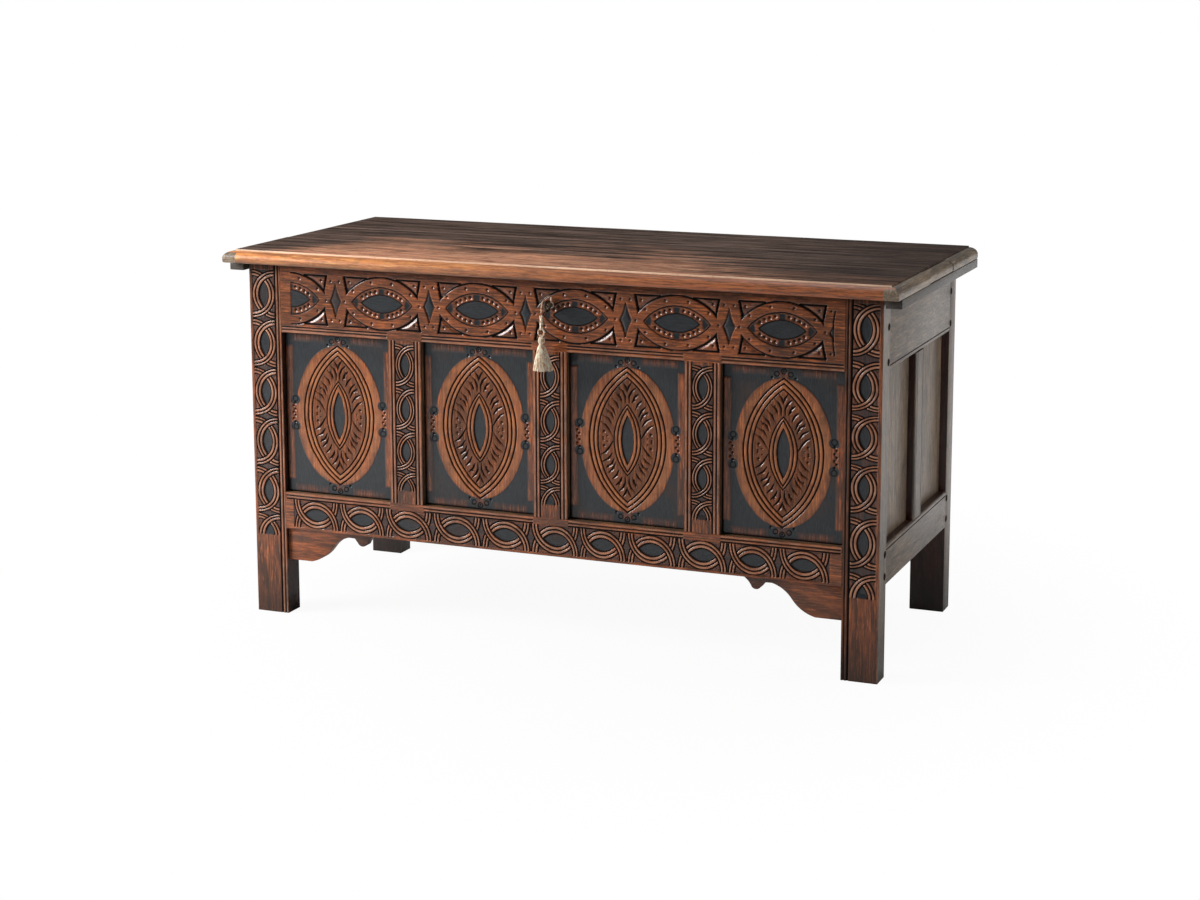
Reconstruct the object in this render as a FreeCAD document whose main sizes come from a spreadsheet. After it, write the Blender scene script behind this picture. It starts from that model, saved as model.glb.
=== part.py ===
import FreeCAD, Part
import Sketcher
import math
import os
from FreeCAD import Placement, Rotation, Vector

# A joined oak coffer: a framed and panelled chest on stile legs, with a hinged plank lid.
# Millimetres. X runs along the chest, the front faces -Y, Z is up.
# The origin is on the floor under the middle of the lid.
# A cut runs 1 mm past each face that it opens, and fused blocks overlap by as much.

DIMENSIONS = {
    # carcass
    "carcass_width": 1270,
    "carcass_depth": 527,
    "carcass_height": 699,
    "stile_width": 68.5,
    "stile_depth": 45,
    "top_rail_width": 136,
    "bottom_rail_width": 73,
    "bottom_rail_rise": 173,
    "muntin_width": 68.5,
    "side_muntin_width": 56,
    "front_thickness": 32,
    "side_thickness": 30,
    "back_thickness": 30,
    # panels in their grooves
    "front_recess": 12,
    "side_recess": 15,
    "back_recess": 10,
    "panel_thickness": 13,
    "tongue_thickness": 6.5,
    "tongue_depth": 9,
    "groove_depth": 10,
    "field_margin": 14,
    # joints of the frame
    "fit_clearance": 0.2,
    "tenon_thickness": 10,
    "long_tenon": 40,
    "side_tenon": 28,
    "muntin_tenon": 28,
    "tenon_shoulder": 10,
    "tenon_haunch": 22,
    "peg_diameter": 10,
    "peg_clearance": 0.05,
    "peg_length": 40,
    "peg_proud": 0.6,
    "side_peg_setback": 8,
    "back_peg_setback": 18,
    "peg_drop": 57,
    "peg_margin": 16,
    # bottom boards
    "board_thickness": 16,
    "board_rise": 12,
    "board_groove": 8,
    "board_gap": 0.5,
    # brackets under the front rail
    "bracket_length": 191,
    "bracket_drop": 64.5,
    "bracket_thickness": 20,
    "bracket_setback": 8,
    # lid
    "lid_thickness": 25,
    "lid_front_overhang": 37,
    "lid_back_overhang": 27,
    "lid_end_overhang": 36.5,
    "front_board_width": 219.5,
    "back_board_width": 198.5,
    "lid_edge_radius": 9,
    "cleat_width": 30,
    "cleat_depth": 17,
    "cleat_inset": 1,
    "cleat_setback": 26.5,
    # strap hinges
    "hinge_spacing": 820,
    "hinge_width": 34,
    "strap_length": 210,
    "strap_shoulder_share": 0.35,
    "strap_waist_share": 0.7,
    "penny_diameter": 40,
    "leaf_height": 92,
    "leaf_nail_inset": 12,
    "iron_thickness": 2.5,
    "barrel_radius": 5,
    "pin_radius": 2.5,
    "pin_clearance": 0.05,
    "knuckle_gap": 0.3,
    "barrel_gap": 0.5,
    "strap_relief": 1.5,
    # nails
    "nail_radius": 1.5,
    "nail_head_radius": 3.8,
    "nail_head_height": 1.4,
    "hole_clearance": 0.5,
    "clout_length": 17,
    "cleat_nail_length": 36,
    # lock
    "key_offset": 6,
    "key_drop": 48,
    "keyhole_radius": 3.6,
    "keyhole_slot": 4.4,
    "case_depth": 22,
    "case_wall": 2,
    "case_margin": 6,
    "case_flange": 14,
    "flange_nail_inset": 8,
    "bolt_height": 12,
    "bolt_thickness": 6,
    "bolt_tail": 44,
    "bolt_head": 20,
    "bolt_travel": 12,
    "bolt_clearance": 0.3,
    "bolt_lug": 3,
    "lug_width": 5,
    "lug_clearance": 0.5,
    "notch_width": 8.5,
    "guide_overlap": 2,
    "spring_room": 9.5,
    "spring_thickness": 0.8,
    "spring_length": 34,
    # staple on the lid
    "staple_thickness": 4,
    "staple_width": 14,
    "staple_plate": 40,
    "staple_nail_inset": 8,
    "staple_clearance": 1.5,
    # key
    "shank_radius": 3,
    "collar_radius": 4.6,
    "collar_length": 2.5,
    "collar_overlap": 0.5,
    "bit_radius": 14,
    "bit_thickness": 3,
    "bit_length": 12,
    "bit_setback": 1,
    "key_bore_depth": 16,
    "drill_pin_radius": 1.5,
    "drill_pin_clearance": 0.05,
    "drill_pin_gap": 1,
    "key_reach": 36.5,
    "bow_height": 22.5,
    "bow_length": 28,
    "bow_thickness": 4,
    "bow_rim": 4,
    # tassel
    "cord_diameter": 2.6,
    "hitch_clearance": 0.3,
    "hitch_knot": 7.2,
    "tassel_wrap_radius": 4,
    "tassel_wrap_length": 22,
    "tassel_ring_radius": 6,
    "tassel_ring_bar": 2.2,
    "tassel_ring_overlap": 2,
    "tassel_head_radius": 6.5,
    "tassel_head_drop": 12.9,
    "tassel_head_lower": 6.5,
    "tassel_head_upper": 6.2,
    "tassel_neck_radius": 4.6,
    "tassel_skirt_radius": 19.5,
    "tassel_skirt_length": 49,
}

doc = FreeCAD.newDocument("CofferChest")
dims = doc.addObject("Spreadsheet::Sheet", "dims")
for row, (alias, value) in enumerate(DIMENSIONS.items(), start=1):
    dims.set(f"A{row}", alias)
    dims.set(f"B{row}", str(value))
    dims.setAlias(f"B{row}", alias)
doc.recompute()

# Places worked out from the sheet, as expressions.
HALF_WIDTH = "dims.carcass_width / 2"
HALF_DEPTH = "dims.carcass_depth / 2"
MIDDLE = "(dims.lid_front_overhang - dims.lid_back_overhang) / 2"
FRONT = f"({MIDDLE} - {HALF_DEPTH})"
BACK = f"({MIDDLE} + {HALF_DEPTH})"
TOP = "dims.carcass_height"
LID_FRONT = f"({FRONT} - dims.lid_front_overhang)"
LID_BACK = f"({BACK} + dims.lid_back_overhang)"
LID_END = f"({HALF_WIDTH} + dims.lid_end_overhang)"
STILE_EDGE = f"({HALF_WIDTH} - dims.stile_width)"
SIDE_EDGE = f"({HALF_DEPTH} - dims.stile_depth)"
TOP_RAIL = f"({TOP} - dims.top_rail_width)"
BOTTOM_RAIL = "dims.bottom_rail_rise"
SILL = f"({BOTTOM_RAIL} + dims.bottom_rail_width)"
AXIS_Y = f"({BACK} + dims.barrel_radius + dims.barrel_gap)"
AXIS_Z = f"({TOP} - dims.barrel_radius - dims.barrel_gap)"
KEY_X = "dims.key_offset"
KEY_Z = f"({TOP} - dims.key_drop)"
RAIL_INSIDE = f"({FRONT} + dims.front_thickness)"
CASE_BACK = f"({RAIL_INSIDE} + dims.case_depth)"
BOLT_Y = f"({RAIL_INSIDE} + dims.case_depth / 2 - dims.bolt_thickness / 4)"
BOLT_Z = f"({KEY_Z} + dims.bit_radius + dims.staple_clearance)"
BOLT_TOP = f"({BOLT_Z} + dims.bolt_height)"
CASE_TOP = f"({BOLT_TOP} + dims.spring_room + dims.case_wall)"
CASE_BOTTOM = f"({KEY_Z} - dims.bit_radius - dims.case_margin - dims.case_wall)"
CASE_LEFT = f"({KEY_X} - dims.bolt_tail - dims.case_margin - dims.case_wall)"
CASE_RIGHT = f"({KEY_X} + dims.bolt_head + dims.bolt_travel + dims.case_margin + dims.case_wall)"

# Each frame of the carcass has its own directions: u along it, v inwards from its outer face.
FRAMES = {
    "world": (0, "{u}", "{v}"),
    "front": (0, "{u}", FRONT + " + ({v})"),
    "back": (180, "-({u})", BACK + " - ({v})"),
    "right": (90, HALF_WIDTH + " - ({v})", MIDDLE + " + ({u})"),
    "left": (-90, "({v}) - " + HALF_WIDTH, MIDDLE + " - ({u})"),
}
FRAME_SIZES = {
    "front": (STILE_EDGE, "dims.front_thickness", "dims.front_recess", "dims.long_tenon"),
    "back": (STILE_EDGE, "dims.back_thickness", "dims.back_recess", "dims.long_tenon"),
    "right": (SIDE_EDGE, "dims.side_thickness", "dims.side_recess", "dims.side_tenon"),
    "left": (SIDE_EDGE, "dims.side_thickness", "dims.side_recess", "dims.side_tenon"),
}
ALONG_Z = Rotation()
ALONG_V = Rotation(Vector(1, 0, 0), -90)
ALONG_U = Rotation(Vector(0, 1, 0), 90)
SUBPARTS = []


def size(alias):
    """A dimension read from the sheet as a number."""
    return float(dims.get(alias))


def grow(low, high, by="dims.fit_clearance"):
    """A span opened by a clearance at both ends."""
    return f"({low}) - {by}", f"({high}) + {by}"


def place(thing, frame, u, v, z, turn=ALONG_Z):
    """Put a primitive's corner or centre at u, v, z of a frame."""
    angle, x_rule, y_rule = FRAMES[frame]
    thing.Placement = Placement(Vector(), Rotation(Vector(0, 0, 1), angle).multiply(turn))
    thing.setExpression("Placement.Base.x", x_rule.format(u=u, v=v))
    thing.setExpression("Placement.Base.y", y_rule.format(u=u, v=v))
    thing.setExpression("Placement.Base.z", str(z))
    return thing


def block(frame, u, v, z):
    """A rectangular block over three spans."""
    made = doc.addObject("Part::Box", "Block")
    for name, (low, high) in (("Length", u), ("Width", v), ("Height", z)):
        made.setExpression(name, f"({high}) - ({low})")
    return place(made, frame, u[0], v[0], z[0])


def rod(frame, u, v, z, radius, length, turn=ALONG_Z):
    """A round bar from u, v, z along the direction of turn."""
    made = doc.addObject("Part::Cylinder", "Rod")
    made.setExpression("Radius", radius)
    made.setExpression("Height", length)
    return place(made, frame, u, v, z, turn)


def cone(frame, u, v, z, low_radius, high_radius, length):
    """An upright cone frustum on u, v, z."""
    made = doc.addObject("Part::Cone", "Cone")
    made.setExpression("Radius1", low_radius)
    made.setExpression("Radius2", high_radius)
    made.setExpression("Height", length)
    return place(made, frame, u, v, z)


def fuse(parts):
    """The parts as one; a single part is itself."""
    if len(parts) == 1:
        return parts[0]
    made = doc.addObject("Part::MultiFuse", "Joined")
    made.Shapes = parts
    return made


def cut(base, tools):
    """The base with every tool taken out of it."""
    if not tools:
        return base
    made = doc.addObject("Part::Cut", "Cut")
    made.Base = base
    made.Tool = fuse(tools)
    return made


def subpart(label, made):
    """Name a finished piece; its label is its node's name."""
    made.Label = label
    SUBPARTS.append(made)
    return made


def group(label, pieces):
    """Identical pieces kept in one node as separate solids."""
    made = doc.addObject("Part::Compound", "Group")
    made.Links = pieces
    return subpart(label, made)


# ---- frame members -------------------------------------------------------------------------


def tenon_spans(frame, side, edge, length, z, clearance="0"):
    """The block of a rail's tenon past the frame's opening edge, or its mortise with a clearance."""
    recess = FRAME_SIZES[frame][2]
    start = f"{edge} - 1" if clearance != "0" else edge
    u = (start, f"{edge} + {length} + {clearance}")
    if side < 0:
        u = (f"-({u[1]})", f"-({u[0]})")
    v = grow(recess, f"{recess} + dims.tenon_thickness", clearance)
    return u, v, grow(*z, clearance)


def rail_tenon_height(is_top):
    """The height of a rail's tenon, inside its shoulders."""
    if is_top:
        return f"{TOP_RAIL} + dims.tenon_shoulder", f"{TOP} - dims.tenon_haunch"
    return f"{BOTTOM_RAIL} + dims.tenon_shoulder", f"{SILL} - dims.groove_depth"


def groove(frame, u, z):
    """The slot that a panel's tongue slides in."""
    recess = FRAME_SIZES[frame][2]
    return block(frame, u, grow(recess, f"{recess} + dims.tongue_thickness"), z)


def muntin_spans(frame, centre, width, is_top, clearance="0"):
    """A muntin's tenon into the rail above or below it, or its mortise."""
    recess = FRAME_SIZES[frame][2]
    half = f"({width} / 2 - dims.groove_depth)"
    u = grow(f"{centre} - {half}", f"{centre} + {half}", clearance)
    v = grow(recess, f"{recess} + dims.tenon_thickness", clearance)
    open_end = "1" if clearance != "0" else "0"
    if is_top:
        z = (f"{TOP_RAIL} - {open_end}", f"{TOP_RAIL} + dims.muntin_tenon + {clearance}")
    else:
        z = (f"{SILL} - dims.muntin_tenon - {clearance}", f"{SILL} + {open_end}")
    return u, v, z


def rail(frame, is_top, muntins, muntin_width, extra_cuts=()):
    """A top or bottom rail: body, two tenons, panel groove and mortises for the muntins."""
    edge, thickness, _, length = FRAME_SIZES[frame]
    z = (TOP_RAIL, TOP) if is_top else (BOTTOM_RAIL, SILL)
    body = [block(frame, (f"-{edge}", edge), ("0", thickness), z)]
    for side in (-1, 1):
        body.append(block(frame, *tenon_spans(frame, side, edge, length, rail_tenon_height(is_top))))
    if is_top:
        slot = (f"{TOP_RAIL} - 1", f"{TOP_RAIL} + dims.groove_depth")
    else:
        slot = (f"{SILL} - dims.groove_depth", f"{SILL} + 1")
    cuts = [groove(frame, (f"-{edge} - 1", f"{edge} + 1"), slot)]
    for centre in muntins:
        spans = muntin_spans(frame, centre, muntin_width, is_top, "dims.fit_clearance")
        cuts.append(block(frame, *spans))
    return cut(fuse(body), cuts + list(extra_cuts))


def muntin(frame, centre, width):
    """An upright between the rails, with a tenon each end and a groove in each edge."""
    thickness = FRAME_SIZES[frame][1]
    low, high = f"{centre} - {width} / 2", f"{centre} + {width} / 2"
    body = [block(frame, (low, high), ("0", thickness), (SILL, TOP_RAIL))]
    body += [block(frame, *muntin_spans(frame, centre, width, is_top)) for is_top in (True, False)]
    z = (f"{SILL} - 1", f"{TOP_RAIL} + 1")
    cuts = [
        groove(frame, (f"{low} - 1", f"{low} + dims.groove_depth"), z),
        groove(frame, (f"{high} - dims.groove_depth", f"{high} + 1"), z),
    ]
    tenons = [block(frame, *muntin_spans(frame, centre, width, is_top)) for is_top in (True, False)]
    return fuse([cut(fuse(body), cuts)] + tenons)


def plane(body, role):
    """One of a body's own origin planes."""
    return next(feature for feature in body.Origin.OriginFeatures if feature.Role == role)


def rectangle(body, name, width, height, lift=None):
    """A rectangle about the body's origin, drawn at any size and bound to the sheet."""
    sketch = body.newObject("Sketcher::SketchObject", name)
    sketch.AttachmentSupport = (plane(body, "XY_Plane"), [""])
    sketch.MapMode = "FlatFace"
    if lift:
        sketch.setExpression("AttachmentOffset.Base.z", lift)
    corners = [Vector(-50, -50), Vector(50, -50), Vector(50, 50), Vector(-50, 50)]
    for start, end in zip(corners, corners[1:] + corners[:1]):
        sketch.addGeometry(Part.LineSegment(start, end))
    for line in range(4):
        sketch.addConstraint(Sketcher.Constraint("Coincident", line, 2, (line + 1) % 4, 1))
    for kind, lines in (("Horizontal", (0, 2)), ("Vertical", (1, 3))):
        for line in lines:
            sketch.addConstraint(Sketcher.Constraint(kind, line))
    sketch.addConstraint(Sketcher.Constraint("Symmetric", 0, 1, 1, 2, -1, 1))
    wide = sketch.addConstraint(Sketcher.Constraint("DistanceX", 0, 1, 0, 2, 100))
    high = sketch.addConstraint(Sketcher.Constraint("DistanceY", 1, 1, 1, 2, 100))
    sketch.setExpression(f"Constraints[{wide}]", width)
    sketch.setExpression(f"Constraints[{high}]", height)
    return sketch


def pad(body, sketch, name, length):
    """A sketch raised into a plate."""
    made = body.newObject("PartDesign::Pad", name)
    made.Profile = sketch
    made.setExpression("Length", length)
    return made


def panel(label, frame, low, high):
    """A panel between two members: a thin plate that ends in tongues, and a thicker field inside."""
    recess = FRAME_SIZES[frame][2]
    width = f"(({high}) - ({low}) + 2 * dims.tongue_depth)"
    height = f"({TOP_RAIL} - {SILL} + 2 * dims.tongue_depth)"
    inset = "2 * (dims.tongue_depth + dims.field_margin)"
    body = doc.addObject("PartDesign::Body", "Panel")
    plate = rectangle(body, "PlateOutline", width, height)
    pad(body, plate, "Plate", "dims.tongue_thickness")
    field = rectangle(body, "FieldOutline", f"{width} - {inset}", f"{height} - {inset}",
                      "dims.tongue_thickness")
    pad(body, field, "Field", "dims.panel_thickness - dims.tongue_thickness")
    # the body's own Z points inwards, v; its own X runs against u
    turn = Rotation(Vector(-1, 0, 0), Vector(0, 0, 1), Vector(0, 1, 0), "ZXY")
    middle = f"(({low}) + ({high})) / 2"
    return subpart(label, place(body, frame, middle, recess, f"({SILL} + {TOP_RAIL}) / 2", turn))


def peg_places():
    """Frame, u and z of every draw peg: the side and back frames are pegged, the front is not."""
    heights = (f"{TOP} - dims.peg_drop", f"{TOP_RAIL} + dims.peg_margin",
               f"{SILL} - dims.peg_margin", f"{BOTTOM_RAIL} + dims.peg_margin")
    for frame, setback in (("right", "dims.side_peg_setback"), ("left", "dims.side_peg_setback"),
                           ("back", "dims.back_peg_setback")):
        edge = FRAME_SIZES[frame][0]
        for sign in ("", "-"):
            for z in heights:
                yield frame, f"{sign}({edge} + {setback})", z


def peg_holes(frame, sign):
    """The peg holes of a frame at one end, cut in stile and tenon alike."""
    holes = []
    for at, u, z in peg_places():
        if at == frame and u.startswith("-") == (sign < 0):
            holes.append(rod(at, u, "-1", z, "dims.peg_diameter / 2 + dims.peg_clearance",
                             "dims.peg_length - dims.peg_proud + 1 + dims.fit_clearance", ALONG_V))
    return holes


def stile(label, face, face_side, flank, flank_side):
    """A corner post and leg: mortised on its inner edge for the face frame and on its other
    inner edge for the flank frame, and grooved between the mortises for both panels."""
    spans = (STILE_EDGE, HALF_WIDTH)
    if face_side < 0:
        spans = (f"-({HALF_WIDTH})", f"-{STILE_EDGE}")
    post = block(face, spans, ("0", "dims.stile_depth"), ("0", TOP))
    cuts = []
    for frame, side in ((face, face_side), (flank, flank_side)):
        opening, _, _, reach = FRAME_SIZES[frame]
        for is_top in (True, False):
            z = rail_tenon_height(is_top)
            cuts.append(block(frame, *tenon_spans(frame, side, opening, reach, z, "dims.fit_clearance")))
        slot = (f"{opening} - 1", f"{opening} + dims.groove_depth")
        if side < 0:
            slot = (f"-({slot[1]})", f"-({slot[0]})")
        cuts.append(groove(frame, slot, grow(SILL, TOP_RAIL, "dims.groove_depth")))
        cuts += peg_holes(frame, side)
    return subpart(label, cut(post, cuts))


# ---- the frames of the carcass ---------------------------------------------------------------

stile("front_stile_left", "front", -1, "left", 1)
stile("front_stile_right", "front", 1, "right", -1)
stile("back_stile_left", "back", 1, "left", -1)
stile("back_stile_right", "back", -1, "right", 1)

# front: three muntins and four equal panels
front_pitch = f"((2 * {STILE_EDGE} + dims.muntin_width) / 4)"
front_muntins = [f"(-{front_pitch})", "0", front_pitch]
keyhole = [
    rod("front", KEY_X, "-1", KEY_Z, "dims.keyhole_radius", "dims.front_thickness + 2", ALONG_V),
    block("front", (f"{KEY_X} - dims.keyhole_slot / 2", f"{KEY_X} + dims.keyhole_slot / 2"),
          ("-1", "dims.front_thickness + 1"), (f"{KEY_Z} - dims.bit_radius - 1", KEY_Z)),
]


def clout_hole(frame, u, v, z, turn):
    """A nail's hole, as wide as the nail."""
    return rod(frame, u, v, z, "dims.nail_radius", "dims.clout_length + dims.hole_clearance", turn)


lock_nail_u = grow(CASE_LEFT, CASE_RIGHT, "dims.case_flange / 2")
lock_nail_z = (f"{CASE_TOP} - dims.flange_nail_inset", f"{CASE_BOTTOM} + dims.flange_nail_inset")
lock_nail_places = [(u, z) for u in lock_nail_u for z in lock_nail_z]
lock_hole_y = f"{RAIL_INSIDE} - dims.clout_length - dims.hole_clearance"
lock_nail_holes = [clout_hole("world", u, lock_hole_y, z, ALONG_V) for u, z in lock_nail_places]
board_heights = grow(f"{BOTTOM_RAIL} + dims.board_rise",
                     f"{BOTTOM_RAIL} + dims.board_rise + dims.board_thickness")


def board_groove(frame):
    """The slot in a bottom rail's inner face that holds the ends of the bottom boards."""
    edge, thickness, _, _ = FRAME_SIZES[frame]
    return block(frame, (f"-{edge} - 1", f"{edge} + 1"),
                 (f"{thickness} - dims.board_groove", f"{thickness} + 1"), board_heights)


subpart("front_top_rail", rail("front", True, front_muntins, "dims.muntin_width",
                               keyhole + lock_nail_holes))
subpart("front_bottom_rail", rail("front", False, front_muntins, "dims.muntin_width",
                                  [board_groove("front")]))
for name, centre in zip(("left", "middle", "right"), front_muntins):
    subpart(f"front_muntin_{name}", muntin("front", centre, "dims.muntin_width"))
front_edges = [f"-{STILE_EDGE}"]
for centre in front_muntins:
    front_edges += [f"{centre} - dims.muntin_width / 2", f"{centre} + dims.muntin_width / 2"]
front_edges.append(STILE_EDGE)
for number in range(4):
    panel(f"front_panel_{number + 1}", "front", *front_edges[2 * number:2 * number + 2])

# sides: one muntin and two panels each
for frame in ("left", "right"):
    holes = peg_holes(frame, 1) + peg_holes(frame, -1)
    subpart(f"side_top_rail_{frame}", rail(frame, True, ["0"], "dims.side_muntin_width", holes))
    holes = peg_holes(frame, 1) + peg_holes(frame, -1)
    subpart(f"side_bottom_rail_{frame}", rail(frame, False, ["0"], "dims.side_muntin_width", holes))
    subpart(f"side_muntin_{frame}", muntin(frame, "0", "dims.side_muntin_width"))
    spans = [(f"-{SIDE_EDGE}", "-dims.side_muntin_width / 2"), ("dims.side_muntin_width / 2", SIDE_EDGE)]
    places = ("front", "back") if frame == "right" else ("back", "front")
    for where, (low, high) in zip(places, spans):
        panel(f"side_panel_{frame}_{where}", frame, low, high)

# back: two muntins and three panels, and notches in the top rail for the hinge straps
back_pitch = f"((2 * {STILE_EDGE} + dims.muntin_width) / 3)"
back_muntins = [f"(-{back_pitch} / 2)", f"({back_pitch} / 2)"]
hinge_places = {"left": "(-dims.hinge_spacing / 2)", "right": "(dims.hinge_spacing / 2)"}
strap_notches = [
    block("world", grow(f"{x} - dims.hinge_width / 2", f"{x} + dims.hinge_width / 2", "1"),
          (f"{BACK} - dims.back_thickness - 1", f"{BACK} + 1"),
          (f"{TOP} - dims.iron_thickness - dims.hole_clearance", f"{TOP} + 1"))
    for x in hinge_places.values()
]
leaf_nail_places = [(f"{x} {sign} dims.hinge_width / 4", f"{AXIS_Z} - {drop}")
                    for x in hinge_places.values() for sign in "-+"
                    for drop in ("dims.leaf_height / 2", "(dims.leaf_height - dims.leaf_nail_inset)")]
leaf_hole_y = f"{BACK} - dims.clout_length + dims.iron_thickness - dims.hole_clearance"
leaf_nail_holes = [clout_hole("world", u, leaf_hole_y, z, ALONG_V) for u, z in leaf_nail_places]
back_holes = peg_holes("back", 1) + peg_holes("back", -1)
subpart("back_top_rail", rail("back", True, back_muntins, "dims.muntin_width",
                              strap_notches + back_holes + leaf_nail_holes))
back_holes = peg_holes("back", 1) + peg_holes("back", -1)
subpart("back_bottom_rail", rail("back", False, back_muntins, "dims.muntin_width",
                                 [board_groove("back")] + back_holes))
back_edges = [f"-{STILE_EDGE}"]
for name, centre in zip(("right", "left"), back_muntins):
    subpart(f"back_muntin_{name}", muntin("back", centre, "dims.muntin_width"))
    back_edges += [f"{centre} - dims.muntin_width / 2", f"{centre} + dims.muntin_width / 2"]
back_edges.append(STILE_EDGE)
for number, name in enumerate(("right", "middle", "left")):
    panel(f"back_panel_{name}", "back", *back_edges[2 * number:2 * number + 2])

group("joint_pegs", [
    rod(frame, u, "-dims.peg_proud", z, "dims.peg_diameter / 2", "dims.peg_length", ALONG_V)
    for frame, u, z in peg_places()
])

# ---- bottom boards, running front to back in the rails' grooves --------------------------------

floor_half = f"({HALF_WIDTH} - dims.side_thickness - dims.board_gap)"
floor_y = (f"{RAIL_INSIDE} - dims.board_groove + dims.board_gap",
           f"{BACK} - dims.back_thickness + dims.board_groove - dims.board_gap")
floor_z = (f"{BOTTOM_RAIL} + dims.board_rise", f"{BOTTOM_RAIL} + dims.board_rise + dims.board_thickness")
board_width = f"({floor_half} / 2)"
for number in range(4):
    start = f"{board_width} * {number - 2}"
    board = block("world", (start, f"{start} + {board_width}"), floor_y, floor_z)
    notches = []
    if number in (0, 3):
        reach = (f"{STILE_EDGE} - dims.board_gap", f"{HALF_WIDTH}")
        if number == 0:
            reach = (f"-({reach[1]})", f"-({reach[0]})")
        tall = grow(*floor_z, "1")
        notches = [
            block("world", reach, (FRONT, f"{FRONT} + dims.stile_depth + dims.board_gap"), tall),
            block("world", reach, (f"{BACK} - dims.stile_depth - dims.board_gap", BACK), tall),
        ]
    subpart(f"bottom_board_{number + 1}", cut(board, notches))

# ---- shaped brackets between the legs and the front bottom rail ----------------------------------


def bracket(label, side):
    """A sawn bracket: flat foot against the leg, an ogee, a cusp and a round lobe."""
    run, drop = size("bracket_length"), size("bracket_drop")

    def at(along, down):
        return Vector(side * along * run, 0, -down * drop)

    heel, top = at(0, 1), at(0, 0)
    foot, hollow, rise = at(0.265, 1), at(0.39, 0.85), at(0.5, 0.54)
    swell, shelf, cusp = at(0.59, 0.28), at(0.7, 0.135), at(0.77, 0.14)
    lobe, lobe_low, tail = at(0.81, 0.29), at(0.85, 0.365), at(0.9, 0.31)
    sweep, tip = at(0.94, 0.13), at(1, 0)
    edges = [
        Part.LineSegment(top, heel),
        Part.LineSegment(heel, foot),
        Part.Arc(foot, hollow, rise),
        Part.Arc(rise, swell, shelf),
        Part.LineSegment(shelf, cusp),
        Part.LineSegment(cusp, lobe),
        Part.Arc(lobe, lobe_low, tail),
        Part.Arc(tail, sweep, tip),
        Part.LineSegment(tip, top),
    ]
    face = Part.Face(Part.Wire([edge.toShape() for edge in edges]))
    made = doc.addObject("Part::Feature", "Bracket")
    made.Shape = face.extrude(Vector(0, size("bracket_thickness"), 0))
    edge_x = f"-{STILE_EDGE}" if side > 0 else STILE_EDGE
    return subpart(label, place(made, "front", edge_x, "dims.bracket_setback", BOTTOM_RAIL))


bracket("bracket_left", 1)
bracket("bracket_right", -1)

# ---- hinges ------------------------------------------------------------------------------------


def barrel(x, low, high, radius):
    """A length of the hinge's barrel about its axis, between two places along it."""
    return rod("world", f"{x} + ({low})", AXIS_Y, AXIS_Z, radius, f"({high}) - ({low})", ALONG_U)


def strap_nails(x):
    """The nails along one hinge's strap, the last in its penny end."""
    along = [f"{AXIS_Y} - dims.strap_length * {share}" for share in (0.2, 0.45, 0.68)]
    along.append(f"{AXIS_Y} - dims.strap_length + dims.penny_diameter / 2")
    return [(x, y) for y in along]


third = "dims.hinge_width / 6"
half = "dims.hinge_width / 2"
waist = f"{half} * dims.strap_waist_share"
pin_bore = "dims.pin_radius + dims.pin_clearance"
strap_hole_z = f"{TOP} - dims.iron_thickness - 1"
strap_hole_length = "dims.iron_thickness + 2"
for name, x in hinge_places.items():
    # carcass leaf: a plate on the back rail with the two outer knuckles
    plate_y = (BACK, f"{BACK} + dims.iron_thickness")
    shoulder = f"{AXIS_Z} - dims.barrel_radius - dims.strap_relief"
    leaf = [block("world", (f"{x} - {half}", f"{x} + {half}"), plate_y,
                  (f"{AXIS_Z} - dims.leaf_height", shoulder))]
    inner = f"{third} + dims.knuckle_gap"
    for low, high in ((f"-{half}", f"-({inner})"), (inner, half)):
        leaf.append(barrel(x, low, high, "dims.barrel_radius"))
        leaf.append(block("world", (f"{x} + ({low})", f"{x} + ({high})"), plate_y,
                          (f"{shoulder} - 1", AXIS_Z)))
    holes = [barrel(x, f"-{half} - 1", f"{half} + 1", pin_bore)]
    holes += [clout_hole("world", u, leaf_hole_y, z, ALONG_V)
              for u, z in leaf_nail_places if u.startswith(x)]
    subpart(f"hinge_leaf_{name}", cut(fuse(leaf), holes))

    # lid strap: a long plate under the lid with the middle knuckle and a round penny end
    strap_z = (f"{TOP} - dims.iron_thickness", TOP)
    penny_y = f"{AXIS_Y} - dims.strap_length + dims.penny_diameter / 2"
    full = f"{AXIS_Y} - dims.barrel_radius - dims.strap_relief"
    strap = [
        block("world", (f"{x} - {half}", f"{x} + {half}"),
              (f"{AXIS_Y} - dims.strap_length * dims.strap_shoulder_share", full), strap_z),
        block("world", (f"{x} - {waist}", f"{x} + {waist}"), (penny_y, full), strap_z),
        rod("world", x, penny_y, strap_z[0], "dims.penny_diameter / 2", "dims.iron_thickness"),
        block("world", (f"{x} - {third}", f"{x} + {third}"), (f"{full} - 1", AXIS_Y), strap_z),
        barrel(x, f"-{third}", third, "dims.barrel_radius"),
    ]
    holes = [barrel(x, f"-{half} - 1", f"{half} + 1", pin_bore)]
    holes += [rod("world", u, v, strap_hole_z, "dims.nail_radius", strap_hole_length)
              for u, v in strap_nails(x)]
    subpart(f"hinge_strap_{name}", cut(fuse(strap), holes))

group("hinge_pins", [barrel(x, f"-{half}", half, "dims.pin_radius")
                     for x in hinge_places.values()])

# ---- lock --------------------------------------------------------------------------------------

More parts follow.
